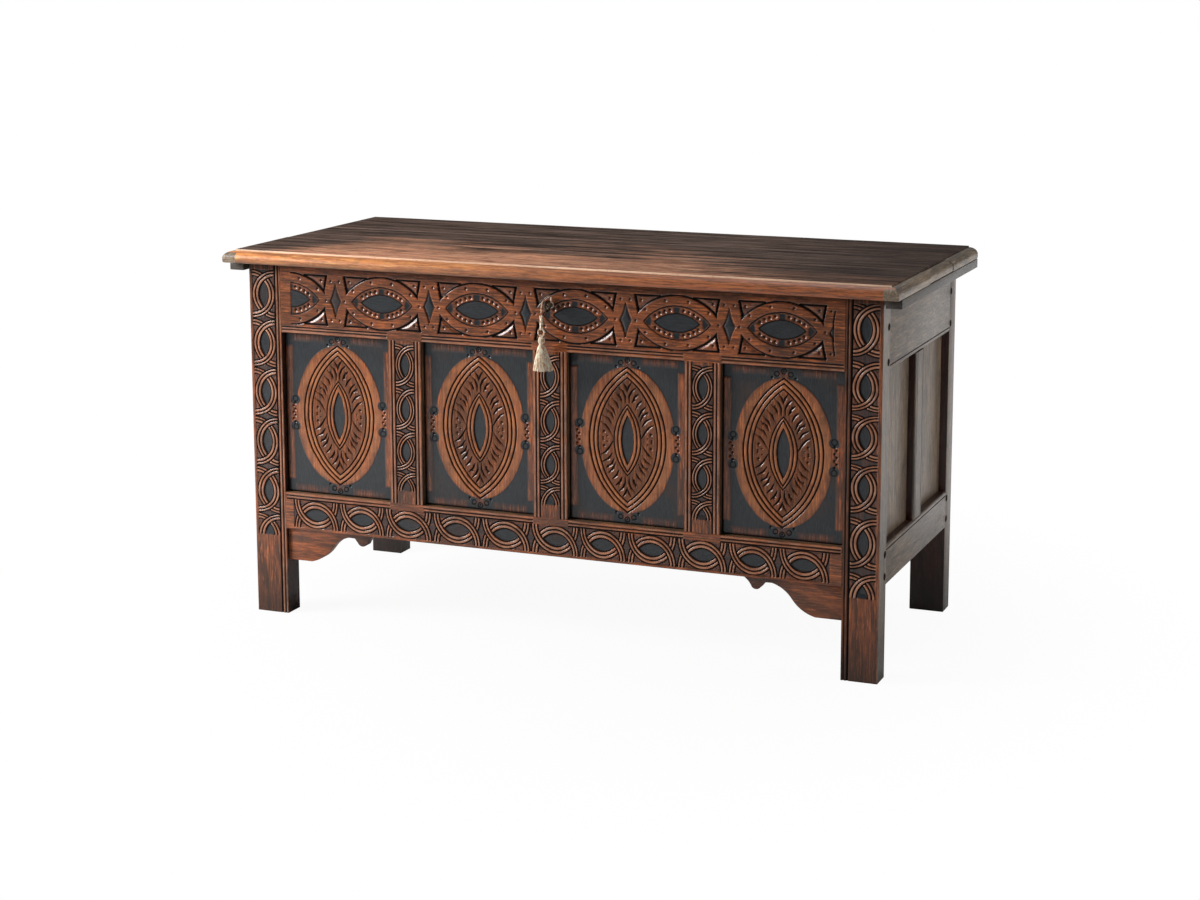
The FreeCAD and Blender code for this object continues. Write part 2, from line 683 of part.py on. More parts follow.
inner_y = (f"{RAIL_INSIDE}", f"{CASE_BACK} - dims.case_wall")
case_x = (CASE_LEFT, CASE_RIGHT)
case_z = (CASE_BOTTOM, CASE_TOP)
staple_x = f"({KEY_X} + dims.bolt_head + dims.staple_thickness)"
bolt_y = (BOLT_Y, f"{BOLT_Y} + dims.bolt_thickness")
staple_y = grow(*bolt_y, "(dims.staple_width - dims.bolt_thickness) / 2")
staple_across = (staple_x, f"{staple_x} + dims.staple_thickness")
bolt_z = (BOLT_Z, BOLT_TOP)
wall = "dims.case_wall"
flange_x = grow(*case_x, "dims.case_flange")
guide_z = (f"{BOLT_Z} - dims.bolt_lug", f"{CASE_TOP} - {wall}")
case = [
    block("world", case_x, (RAIL_INSIDE, CASE_BACK), case_z),
    block("world", flange_x, (RAIL_INSIDE, f"{RAIL_INSIDE} + {wall}"), case_z),
]
hollow = [
    block("world", (f"{case_x[0]} + {wall}", f"{case_x[1]} - {wall}"),
          (f"{RAIL_INSIDE} - 1", inner_y[1]), (f"{case_z[0]} + {wall}", f"{case_z[1]} - {wall}")),
    block("world", grow(*staple_across, "dims.staple_clearance"),
          grow(*staple_y, "dims.staple_clearance"), (f"{CASE_TOP} - {wall} - 1", f"{CASE_TOP} + 1")),
]
hollow += [rod("world", u, f"{RAIL_INSIDE} - 1", z, "dims.nail_radius", f"{wall} + 2", ALONG_V)
           for u, z in lock_nail_places]
# two plates inside the case guide the bolt, and the drill pin carries the key
left_guide = f"({KEY_X} + dims.bolt_travel + dims.guide_overlap - dims.bolt_tail)"
right_guide = f"({KEY_X} + dims.bit_radius + dims.lug_clearance)"
guides = [block("world", (low, f"{low} + {wall}"), inner_y, guide_z)
          for low in (left_guide, right_guide)]
bolt_passage = block("world", (f"{KEY_X} - dims.bolt_tail", staple_x),
                     grow(*bolt_y, "dims.bolt_clearance"), grow(*bolt_z, "dims.bolt_clearance"))
pin_reach = "(dims.key_bore_depth - dims.drill_pin_gap)"
drill_pin = rod("world", KEY_X, f"{CASE_BACK} - {wall} - {pin_reach}", KEY_Z,
                "dims.drill_pin_radius", f"{pin_reach} + {wall}", ALONG_V)
subpart("lock_case", fuse([cut(fuse(case), hollow), cut(fuse(guides), [bolt_passage]), drill_pin]))

# the key's bit rises into a notch between the bolt's two lugs and draws the bolt along
notch_end = f"({KEY_X} - dims.bolt_travel + dims.bit_thickness / 2 + dims.lug_clearance)"
notch_start = f"({notch_end} - dims.notch_width)"
bolt = [block("world", (f"{KEY_X} - dims.bolt_tail", f"{KEY_X} + dims.bolt_head"), bolt_y, bolt_z)]
for low in (f"{notch_start} - dims.lug_width", notch_end):
    bolt.append(block("world", (low, f"{low} + dims.lug_width"), bolt_y,
                      (f"{BOLT_Z} - dims.bolt_lug", f"{BOLT_Z} + 1")))
subpart("lock_bolt", fuse(bolt))


def lock_spring():
    """A bowed leaf spring between the top of the case and the bolt."""
    half_run = size("spring_length") / 2
    bow = size("spring_room") - size("bolt_clearance") - size("spring_thickness")
    ends = [Vector(sign * half_run, 0, 0) for sign in (-1, 1)]
    thick = Vector(0, 0, -size("spring_thickness"))
    face = Part.Face(Part.Wire([
        Part.Arc(ends[0], Vector(0, 0, -bow), ends[1]).toShape(),
        Part.LineSegment(ends[1], ends[1] + thick).toShape(),
        Part.Arc(ends[1] + thick, Vector(0, 0, -bow) + thick, ends[0] + thick).toShape(),
        Part.LineSegment(ends[0] + thick, ends[0]).toShape(),
    ]))
    made = doc.addObject("Part::Feature", "Spring")
    made.Shape = face.extrude(Vector(0, size("bolt_thickness"), 0))
    middle = f"(({left_guide} + {wall} + {right_guide}) / 2)"
    return subpart("lock_spring", place(made, "world", middle, BOLT_Y, f"{CASE_TOP} - {wall}"))


lock_spring()

loop_z = (f"{BOLT_Z} - dims.staple_clearance - dims.iron_thickness", TOP)
plate_x = grow(*staple_across, "(dims.staple_plate - dims.staple_thickness) / 2")
staple = [
    block("world", staple_across, staple_y, loop_z),
    block("world", plate_x, staple_y, (f"{TOP} - dims.iron_thickness", TOP)),
]
eye = [block("world", grow(*staple_across, "1"), grow(*bolt_y, "dims.staple_clearance"),
             grow(*bolt_z, "dims.staple_clearance"))]
staple_mid_y = f"({BOLT_Y} + dims.bolt_thickness / 2)"
staple_nails = [(f"{plate_x[0]} + dims.staple_nail_inset", staple_mid_y),
                (f"{plate_x[1]} - dims.staple_nail_inset", staple_mid_y)]
eye += [rod("world", u, v, strap_hole_z, "dims.nail_radius", strap_hole_length)
        for u, v in staple_nails]
subpart("lid_staple", cut(fuse(staple), eye))

# ---- key -----------------------------------------------------------------------------------------

bow_back = "(dims.bow_length - dims.key_reach)"
key_end = f"{CASE_BACK} - dims.case_wall - dims.barrel_gap"


def stadium(rim):
    """The bow's outline as a block between two discs, drawn in by a rim."""
    radius = f"(dims.bow_height / 2 - {rim})"
    x0 = f"{KEY_X} - dims.bow_thickness / 2"
    front_v = "(dims.bow_height / 2 - dims.key_reach)"
    back_v = f"({bow_back} - dims.bow_height / 2)"
    return [
        block("front", (x0, f"{x0} + dims.bow_thickness"), (front_v, back_v),
              (f"{KEY_Z} - {radius}", f"{KEY_Z} + {radius}")),
        rod("front", x0, front_v, KEY_Z, radius, "dims.bow_thickness", ALONG_U),
        rod("front", x0, back_v, KEY_Z, radius, "dims.bow_thickness", ALONG_U),
    ]


bow = cut(fuse(stadium("0")), stadium("dims.bow_rim"))
shank_start = f"({bow_back} - dims.bow_rim / 2)"
bit_y = (f"{key_end} - dims.bit_length - dims.bit_setback", f"{key_end} - dims.bit_setback")
shank = [
    rod("front", KEY_X, shank_start, KEY_Z, "dims.shank_radius",
        f"({key_end}) - {FRONT} - {shank_start}", ALONG_V),
    rod("front", KEY_X, f"{bow_back} - dims.collar_overlap", KEY_Z, "dims.collar_radius",
        "dims.collar_length", ALONG_V),
    block("world", grow(KEY_X, KEY_X, "dims.bit_thickness / 2"), bit_y,
          (f"{KEY_Z} - dims.bit_radius", KEY_Z)),
]
bore = rod("world", KEY_X, f"{key_end} - dims.key_bore_depth", KEY_Z,
           "dims.drill_pin_radius + dims.drill_pin_clearance", "dims.key_bore_depth + 1", ALONG_V)
subpart("key", cut(fuse([bow] + shank), [bore]))

# ---- tassel ----------------------------------------------------------------------------------------

# points relative to the key's axis at the front of the rail
cord_route = [Vector(0, -4.4, 7.2), Vector(0.2, -4.4, 13.2), Vector(-0.4, -9.2, 17.2),
              Vector(-1.2, -18.4, 17.2), Vector(-2.2, -28.2, 14.6), Vector(-3.2, -36.6, 9.6),
              Vector(-3.9, -40.3, 1.6), Vector(-4, -40.6, -7.2), Vector(-4, -40.5, -15.6)]


def rounded_path(points, share=0.45):
    """Straight runs joined by tangent arcs that take a share of the shorter run at each corner."""
    edges = []
    start = points[0]
    for before, corner, after in zip(points, points[1:], points[2:]):
        back, ahead = before - corner, after - corner
        trim = share * min(back.Length, ahead.Length)
        radius = trim / math.tan((math.pi - back.getAngle(ahead)) / 2)
        middle_distance = math.hypot(radius, trim) - radius
        back, ahead = back.normalize(), ahead.normalize()
        enter, leave = corner + back * trim, corner + ahead * trim
        middle = corner + (back + ahead).normalize() * middle_distance
        edges.append(Part.LineSegment(start, enter).toShape())
        edges.append(Part.Arc(enter, middle, leave).toShape())
        start = leave
    edges.append(Part.LineSegment(start, points[-1]).toShape())
    return Part.Wire(edges)


def tassel_cord():
    """The cord from the key's neck over the bow and down to the tassel."""
    along = cord_route[1] - cord_route[0]
    section = Part.Wire([Part.Circle(cord_route[0], along, size("cord_diameter") / 2).toShape()])
    made = doc.addObject("Part::Feature", "Cord")
    made.Shape = rounded_path(cord_route).makePipeShell([section], True, False)
    return subpart("tassel_cord", place(made, "front", KEY_X, "0", KEY_Z))


tassel_cord()

# the cord's loop round the key's neck, with its knot on top
hitch_y = [f"({end})" for end in grow(cord_route[0].y, cord_route[0].y, "dims.cord_diameter / 2")]
hitch_bore = "(dims.shank_radius + dims.hitch_clearance)"
hitch_ring = cut(
    rod("front", KEY_X, hitch_y[0], KEY_Z, f"{hitch_bore} + dims.cord_diameter", "dims.cord_diameter",
        ALONG_V),
    [rod("front", KEY_X, f"{hitch_y[0]} - 1", KEY_Z, hitch_bore, "dims.cord_diameter + 2", ALONG_V)])
hitch_knot = block("front", grow(KEY_X, KEY_X, "dims.cord_diameter / 2"), hitch_y,
                   (f"{KEY_Z} + {hitch_bore} + dims.cord_diameter / 2", f"{KEY_Z} + dims.hitch_knot"))
subpart("tassel_hitch", fuse([hitch_ring, hitch_knot]))

hang_x, hang_v = f"{KEY_X} + ({cord_route[-1].x})", f"{cord_route[-1].y}"
cord_end = f"({KEY_Z} + ({cord_route[-1].z}))"
wrap_end = f"({cord_end} - dims.tassel_wrap_length)"
ring_reach = "(dims.tassel_ring_radius + dims.tassel_ring_bar)"
ring_z = f"({wrap_end} - {ring_reach})"
ring = doc.addObject("Part::Torus", "Ring")
ring.setExpression("Radius1", "dims.tassel_ring_radius")
ring.setExpression("Radius2", "dims.tassel_ring_bar")
place(ring, "front", hang_x, hang_v, ring_z, ALONG_V)
wrap = rod("front", hang_x, hang_v, f"{wrap_end} - dims.tassel_ring_overlap", "dims.tassel_wrap_radius",
           "dims.tassel_wrap_length + dims.tassel_ring_overlap")
subpart("tassel_loop", fuse([wrap, ring]))

neck_z = f"({ring_z} - {ring_reach} - dims.tassel_head_drop)"
head_mid = f"({neck_z} + dims.tassel_head_lower)"
head = [
    cone("front", hang_x, hang_v, neck_z, "dims.tassel_neck_radius", "dims.tassel_head_radius",
         "dims.tassel_head_lower"),
    cone("front", hang_x, hang_v, head_mid, "dims.tassel_head_radius", "dims.tassel_neck_radius",
         "dims.tassel_head_upper"),
]
subpart("tassel_head", fuse(head))
skirt_z = f"{neck_z} - dims.tassel_skirt_length"
subpart("tassel_skirt", cone("front", hang_x, hang_v, skirt_z, "dims.tassel_skirt_radius",
                             "dims.tassel_neck_radius", "dims.tassel_skirt_length"))

# ---- lid -------------------------------------------------------------------------------------------


def lid_board(label, front_y, width, edges_wanted, holes):
    """A lid board: its outer top edges are rounded over."""
    body = doc.addObject("PartDesign::Body", "Board")
    outline = rectangle(body, "Outline", f"2 * {LID_END}", width)
    board = pad(body, outline, "Thickness", "dims.lid_thickness")
    doc.recompute()
    top = size("lid_thickness")
    chosen = []
    for number, edge in enumerate(board.Shape.Edges, start=1):
        if all(abs(vertex.Z - top) < 1e-6 for vertex in edge.Vertexes):
            middle = edge.CenterOfMass
            side = "end" if abs(middle.x) > abs(middle.y) else ("front" if middle.y < 0 else "back")
            if side in edges_wanted:
                chosen.append(f"Edge{number}")
    rounded = body.newObject("PartDesign::Fillet", "RoundedEdge")
    rounded.Base = (board, chosen)
    rounded.setExpression("Radius", "dims.lid_edge_radius")
    place(body, "world", "0", f"{front_y} + {width} / 2", TOP)
    return subpart(label, cut(body, holes))


def upward_hole(u, v, length):
    """A nail's hole in the lid's underside."""
    return rod("world", u, v, f"{TOP} - 1", "dims.nail_radius", f"{length} + 1 + dims.hole_clearance")


strap_nail_places = [spot for x in hinge_places.values() for spot in strap_nails(x)] + staple_nails
cleat_y = (f"({LID_FRONT} + dims.cleat_setback)", LID_BACK)
cleat_length = f"({cleat_y[1]} - {cleat_y[0]})"
cleat_mid = f"({LID_END} - dims.cleat_inset - dims.cleat_width / 2)"
cleat_nail_shares = (0.06, 0.27, 0.5, 0.73, 0.94)
cleat_nail_places = [(f"{sign}{cleat_mid}", f"{cleat_y[0]} + {cleat_length} * {share}")
                     for sign in ("-", "") for share in cleat_nail_shares]


def lid_holes():
    """Holes for every nail that enters the lid from below."""
    clouts = [upward_hole(u, v, "dims.clout_length") for u, v in strap_nail_places]
    return clouts + [upward_hole(u, v, "(dims.cleat_nail_length - dims.cleat_depth)")
                     for u, v in cleat_nail_places]


middle_width = f"({LID_BACK} - {LID_FRONT} - dims.front_board_width - dims.back_board_width)"
for name, front_y, width, rounded in (
    ("front", LID_FRONT, "dims.front_board_width", ("front", "end")),
    ("middle", f"{LID_FRONT} + dims.front_board_width", middle_width, ("end",)),
    ("back", f"{LID_BACK} - dims.back_board_width", "dims.back_board_width", ("end",)),
):
    lid_board(f"lid_board_{name}", front_y, width, rounded, lid_holes())

for name, sign in (("left", -1), ("right", 1)):
    x = (f"{LID_END} - dims.cleat_inset - dims.cleat_width", f"{LID_END} - dims.cleat_inset")
    if sign < 0:
        x = (f"-({x[1]})", f"-({x[0]})")
    cleat = block("world", x, cleat_y, (f"{TOP} - dims.cleat_depth", TOP))
    holes = [rod("world", u, v, f"{TOP} - dims.cleat_depth - 1", "dims.nail_radius",
                 "dims.cleat_depth + 2") for u, v in cleat_nail_places]
    subpart(f"lid_cleat_{name}", cut(cleat, holes))


# ---- nails -----------------------------------------------------------------------------------------


def nail(frame, u, v, z, length, turn):
    """A wrought nail: round shank and flat head, its head outwards at u, v, z."""
    head = rod(frame, u, v, z, "dims.nail_head_radius", "dims.nail_head_height", turn)
    shank_turn = turn.multiply(Rotation(Vector(1, 0, 0), 180))
    return fuse([head, rod(frame, u, v, z, "dims.nail_radius", length, shank_turn)])


DOWN = Rotation(Vector(1, 0, 0), 180)
clouts = [nail("world", u, f"{BACK} + dims.iron_thickness", z, "dims.clout_length", ALONG_V)
          for u, z in leaf_nail_places]
clouts += [nail("world", u, f"{RAIL_INSIDE} + {wall}", z, "dims.clout_length", ALONG_V)
           for u, z in lock_nail_places]
group("carcass_nails", clouts)
group("strap_nails", [nail("world", u, v, f"{TOP} - dims.iron_thickness", "dims.clout_length", DOWN)
                      for u, v in strap_nail_places])
group("cleat_nails", [nail("world", u, v, f"{TOP} - dims.cleat_depth", "dims.cleat_nail_length", DOWN)
                      for u, v in cleat_nail_places])

# ---- check and write ---------------------------------------------------------------------------------

doc.recompute()
for thing in doc.Objects:
    if "Invalid" in thing.State or "Error" in thing.State:
        raise RuntimeError(f"{thing.Label} did not build: {thing.State}")
for made in SUBPARTS:
    if made.Shape.isNull() or not made.Shape.isValid() or not made.Shape.Solids:
        raise RuntimeError(f"{made.Label} has no valid shape")

os.makedirs("parts", exist_ok=True)
for made in SUBPARTS:
    made.Shape.exportStep(f"parts/{made.Label}.step")
print(len(SUBPARTS), "sub-parts written")
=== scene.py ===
"""Looks of a joined and carved oak coffer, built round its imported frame."""

import math

import bmesh
import bpy
import numpy as np
from mathutils import Matrix, Vector


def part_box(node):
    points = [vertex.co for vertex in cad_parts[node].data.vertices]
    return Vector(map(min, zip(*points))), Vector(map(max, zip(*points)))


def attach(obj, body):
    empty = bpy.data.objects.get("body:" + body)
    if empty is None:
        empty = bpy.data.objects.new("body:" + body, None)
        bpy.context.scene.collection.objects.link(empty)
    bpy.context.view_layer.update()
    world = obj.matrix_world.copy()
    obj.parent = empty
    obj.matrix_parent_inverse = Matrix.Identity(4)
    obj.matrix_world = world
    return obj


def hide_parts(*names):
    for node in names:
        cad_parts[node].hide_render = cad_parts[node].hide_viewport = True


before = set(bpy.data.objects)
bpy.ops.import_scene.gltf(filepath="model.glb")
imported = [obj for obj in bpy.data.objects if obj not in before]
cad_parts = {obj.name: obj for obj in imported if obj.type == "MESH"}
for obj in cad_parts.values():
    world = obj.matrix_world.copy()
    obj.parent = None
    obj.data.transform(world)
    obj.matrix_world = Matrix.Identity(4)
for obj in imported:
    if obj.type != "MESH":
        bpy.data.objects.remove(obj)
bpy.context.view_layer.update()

bl_info = {
    "name": "Oak coffer looks",
    "version": (1, 0, 0),
    "blender": (4, 5, 0),
    "location": "View3D > Sidebar > Coffer",
    "description": "Carves, moulds and finishes the pieces of a joined oak coffer",
    "category": "Object",
}

MM = 0.001
TIGHT = 1e-6
NEAR = 1e-5
ENDS = (-1, 1)
CORNERS = [(across, up) for across in ENDS for up in ENDS]


# ---------------------------------------------------------------- sizes and colours


def length_property(name, description, default, low, high):
    """A length, with its default and its limits in mm."""
    return bpy.props.FloatProperty(
        name=name, description=description, default=default * MM, min=low * MM, max=high * MM,
        subtype="DISTANCE", unit="LENGTH",
    )


class CofferSizes(bpy.types.PropertyGroup):
    """Sizes of the carving and the mouldings."""

    gouge_step: length_property("Carving step", "Distance between the cuts of the panels", 1.0, 0.5, 4)
    nosing: length_property("Lid moulding", "Width of the thumbnail moulding round the lid", 19, 8, 40)
    easing: length_property("Worn edge", "Width of the worn edges of the back stiles", 1.2, 0.1, 4)


def colour_property(name, description, default):
    """A colour as an eye reads it, from 0 to 1 in each channel."""
    return bpy.props.FloatVectorProperty(
        name=name, description=description, default=default, size=3, min=0, max=1, subtype="COLOR_GAMMA"
    )


class CofferColours(bpy.types.PropertyGroup):
    """Colours of the wood, the stain, the iron and the tassel."""

    carved: colour_property("Carved oak", "Polished red-brown oak of the front", (0.53, 0.29, 0.145))
    ground: colour_property("Stained ground", "Black-brown stain in the sunk ground", (0.135, 0.148, 0.160))
    side: colour_property("Side oak", "Dark waxed oak of the sides", (0.405, 0.35, 0.295))
    lid_front: colour_property("Lid front", "Handled front of the lid", (0.88, 0.62, 0.51))
    nosing: colour_property("Lid moulding", "Rubbed moulding along the lid's front", (0.88, 0.56, 0.34))
    lid_back: colour_property("Lid back", "Dark back of the lid", (0.315, 0.265, 0.24))
    raw: colour_property("Raw oak", "Unpolished oak inside and below", (0.47, 0.36, 0.26))
    iron: colour_property("Iron", "Old blackened iron", (0.20, 0.19, 0.18))
    key: colour_property("Key", "Handled steel of the key", (0.36, 0.32, 0.28))
    silk: colour_property("Tassel", "Ivory thread of the tassel", (1.0, 0.965, 0.88))


def sizes():
    return bpy.context.scene.coffer_sizes


def colours():
    return bpy.context.scene.coffer_colours


def linear(colour):
    """The linear RGBA of a colour as an eye reads it."""
    rgb = [c / 12.92 if c <= 0.04045 else ((c + 0.055) / 1.055) ** 2.4 for c in colour]
    return (*rgb, 1.0)


def shade(colour, factor):
    return tuple(min(1.0, c * factor) for c in colour)


# ---------------------------------------------------------------- materials


class Finish:
    """A node material under construction."""

    def __init__(self, name):
        self.material = bpy.data.materials.new(name)
        self.material.use_nodes = True
        self.tree = self.material.node_tree
        self.shader = self.tree.nodes["Principled BSDF"]
        self.place = self.node("ShaderNodeTexCoord").outputs["Object"]
        self.x, self.y, self.z = self.node("ShaderNodeSeparateXYZ", {"Vector": self.place}).outputs

    def node(self, kind, inputs=None, **settings):
        made = self.tree.nodes.new(kind)
        for key, value in settings.items():
            setattr(made, key, value)
        for key, value in (inputs or {}).items():
            self.feed(made.inputs[key], value)
        return made

    def feed(self, socket, value):
        """Links a socket or sets a constant. A colour of three channels is one as an eye reads it."""
        if isinstance(value, bpy.types.NodeSocket):
            self.tree.links.new(value, socket)
        elif socket.type == "RGBA" and len(value) == 3:
            socket.default_value = linear(value)
        else:
            socket.default_value = value

    def attribute(self, name):
        return self.node("ShaderNodeAttribute", attribute_name=name).outputs["Fac"]

    def stretched(self, scale):
        """The place on the piece, scaled so that a pattern runs with the grain."""
        return self.node("ShaderNodeMapping", {"Vector": self.place, "Scale": scale}).outputs["Vector"]

    def noise(self, vector, scale, detail=4.0, roughness=0.55, distortion=0.0):
        inputs = {"Vector": vector, "Scale": scale, "Detail": detail, "Roughness": roughness}
        return self.node("ShaderNodeTexNoise", {**inputs, "Distortion": distortion}).outputs["Fac"]

    def math(self, operation, first, second=0.0, clamp=False):
        inputs = {0: first, 1: second}
        return self.node("ShaderNodeMath", inputs, operation=operation, use_clamp=clamp).outputs[0]

    def times(self, first, second):
        return self.math("MULTIPLY", first, second)

    def plus(self, first, second, clamp=False):
        return self.math("ADD", first, second, clamp)

    def away(self, value, place):
        """The distance of a value from a place."""
        return self.math("ABSOLUTE", self.math("SUBTRACT", value, place))

    def stray(self, value, field, reach):
        """The value, moved by a field's difference from its mean."""
        return self.plus(value, self.times(self.math("SUBTRACT", field, 0.5), reach))

    def step(self, value, low, high, low_value=0.0, high_value=1.0):
        """A smooth change from low_value to high_value while value goes from low to high."""
        return self.node(
            "ShaderNodeMapRange",
            {"Value": value, "From Min": low, "From Max": high, "To Min": low_value, "To Max": high_value},
            interpolation_type="SMOOTHSTEP",
        ).outputs[0]

    def mix(self, factor, first, second):
        return self.node("ShaderNodeMix", {0: factor, 6: first, 7: second}, data_type="RGBA").outputs[2]

    def layer(self, tone, field, low, high, share, over):
        """The tone with another colour laid over it, up to a share, while the field goes from low to high."""
        return self.mix(self.step(field, low, high, 0.0, share), tone, over)

    def bump(self, height, distance):
        inputs = {"Height": height, "Distance": distance, "Strength": 0.6}
        return self.node("ShaderNodeBump", inputs).outputs["Normal"]

    def surface(self, colour, roughness, normal=None, **others):
        others.update(Base_Color=colour, Roughness=roughness)
        if normal is not None:
            others["Normal"] = normal
        for name, value in others.items():
            self.feed(self.shader.inputs[name.replace("_", " ")], value)
        return self.material


_finishes = {}


def made_once(make):
    """Starts a finish the first time that its name is asked for."""

    def ask(name, *values, **settings):
        if name not in _finishes:
            _finishes[name] = make(Finish(name), *values, **settings)
        return _finishes[name]

    return ask


# how the grain's own axis lies in a board that runs along X, Y or Z
GRAIN_SCALE = {"X": (1.0, 14.0, 14.0), "Y": (14.0, 1.0, 14.0), "Z": (14.0, 14.0, 1.0)}
# where the lid's boards meet, and where its top meets the front moulding
LID_JOINTS = [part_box("lid_board_middle")[0].y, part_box("lid_board_back")[0].y]
LID_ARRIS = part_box("lid_board_front")[0].y + 18.7 * MM
# what a relief gives the material of a carved board: its stain, its soiling with painted shade, and its wear
# with painted sheen
COLOURED = ("stain", "dirt", "rub")
DARKER_NEAR_FLOOR = (0.0, 0.13, 0.80)
# the black of the soiled cuts and of the painted shade in them
DIRT_AND_SHADE_BLACK = (0.035, 0.025, 0.022)
# the colours of rubbed ridges: partly wear, partly painted sheen
RUBBED_AND_SHEEN_UPRIGHT = (0.71, 0.51, 0.40)
RUBBED_AND_SHEEN_PANEL = (0.72, 0.45, 0.26)


@made_once
def oak(
    f, colour, along, polish=0.4, streak=0.5, rings=0.35, worn=None, lid=False, grime=None, hollow=None,
    fade=None,
):
    """Quartered oak with its grain along one axis.

    A carved board gives, as worn, the colour of its rubbed ridges, partly wear and partly painted sheen, and
    adds its stain and its dirty cuts, which are partly painted shade. The wood can darken over a low and high
    Z towards its lower end, by a share; on the lid's front moulding this is painted shade under its round. It
    can take painted shade towards a bracket's middle, between two distances from the middle, by a share, and
    painted shade along its length from one X to another, towards a darker colour, where the light falls off.
    """
    scale = GRAIN_SCALE[along]
    grain = f.stretched(scale)
    fibre = f.noise(grain, 80.0, 5.0, 0.65)
    figure = f.noise(grain, 7.0, 5.0, 0.62, 0.5)
    cloud = f.noise(f.place, 6.5, 3.0, 0.6)
    mottle = f.noise(f.place, 38.0, 3.0, 0.6)
    lines = f.noise(grain, 21.0, 4.0, 0.7)
    pores = f.step(f.noise(f.stretched(tuple(s * 2.0 for s in scale)), 55.0, 2.0, 0.5), 0.60, 0.70)
    ring_place = f.stretched(tuple(1.0 if s > 1 else 0.13 for s in scale))
    ring = f.node(
        "ShaderNodeTexWave",
        {"Vector": ring_place, "Scale": 17.0, "Distortion": 7.0, "Detail": 3.0, "Detail Scale": 1.3},
        wave_type="BANDS",
        bands_direction="DIAGONAL",
    ).outputs["Fac"]
    warm = (min(1, colour[0] * 1.24), colour[1] * 1.13, colour[2] * 0.98)
    bold = 1.0 if worn else 0.62
    tone = f.mix(f.step(figure, 0.34, 0.66), shade(colour, 0.74), warm)
    tone = f.mix(0.42, tone, colour)
    for field, low, high, share, factor in (
        (figure, 0.53, 0.62, streak, 0.50),
        (cloud, 0.42, 0.66, 0.55, 0.50),
        (mottle, 0.50, 0.70, 0.42, 0.50),
        (ring, 0.76, 0.97, rings, 0.42),
        (lines, 0.50, 0.61, 0.66 * bold, 0.36),
        (lines, 0.47, 0.35, 0.62 * bold, 1.48),
        (fibre, 0.50, 0.68, 0.38, 0.42),
    ):
        tone = f.layer(tone, field, low, high, share, shade(colour, factor))
    if lid:
        tone = lid_tone(f, tone)
    # darker towards the lower end; on the lid's front moulding this is painted shade under its round
    if grime:
        low, high, share = grime
        height = f.stray(f.z, cloud, high - low)
        tone = f.mix(f.step(height, low, high, share, 0.0), tone, shade(colour, 0.34))
    # painted shade: darker along the length where the light falls off
    if fade:
        pale_end, dark_end, shaded_colour = fade
        deep = f.mix(f.step(lines, 0.42, 0.60), shaded_colour, shade(shaded_colour, 0.55))
        tone = f.layer(tone, f.x, pale_end, dark_end, 0.8, deep)
    # painted shade deepening towards a bracket's middle
    if hollow:
        pale, dark, share = hollow
        tone = f.layer(tone, f.stray(f.away(f.x, 0.0), mottle, 0.10), pale, dark, share, shade(colour, 0.28))
    tone = f.mix(f.times(pores, 0.45), tone, shade(colour, 0.40))
    shine = f.step(fibre, 0.3, 0.7, 0.46 - 0.26 * polish, 0.64 - 0.26 * polish)
    gloss = 0.22 * polish
    if lid:
        shine = f.plus(shine, 0.26)
        gloss = 0.0
    if worn:
        stain, dirt, rub = (f.attribute(name) for name in COLOURED)
        ground = colours().ground
        sunk = f.mix(f.step(fibre, 0.35, 0.7), shade(ground, 0.85), shade(ground, 1.25))
        sunk = f.layer(sunk, cloud, 0.52, 0.70, 0.3, shade(colour, 0.55))
        # lighter where worn, partly as painted sheen; then the stained ground; then black where soiled and as
        # painted shade
        tone = f.mix(f.times(rub, f.step(mottle, 0.35, 0.65, 0.25, 0.75)), tone, worn)
        tone = f.mix(dirt, f.mix(stain, tone, sunk), DIRT_AND_SHADE_BLACK)
        shine = f.plus(f.plus(shine, 0.12), f.times(dirt, 0.4), clamp=True)
        gloss = f.times(f.math("SUBTRACT", 1.0, dirt), f.step(stain, 0.2, 0.9, 0.95 * polish, 0.7 * polish))
    height = f.math("SUBTRACT", f.times(fibre, 0.5), f.times(pores, 0.9))
    return f.surface(
        tone, shine, f.bump(height, 0.35 * MM), Coat_Roughness=0.17 if worn else 0.12, Coat_Weight=gloss,
        Specular_IOR_Level=0.04 if lid else 0.12 if worn else 0.45,
    )


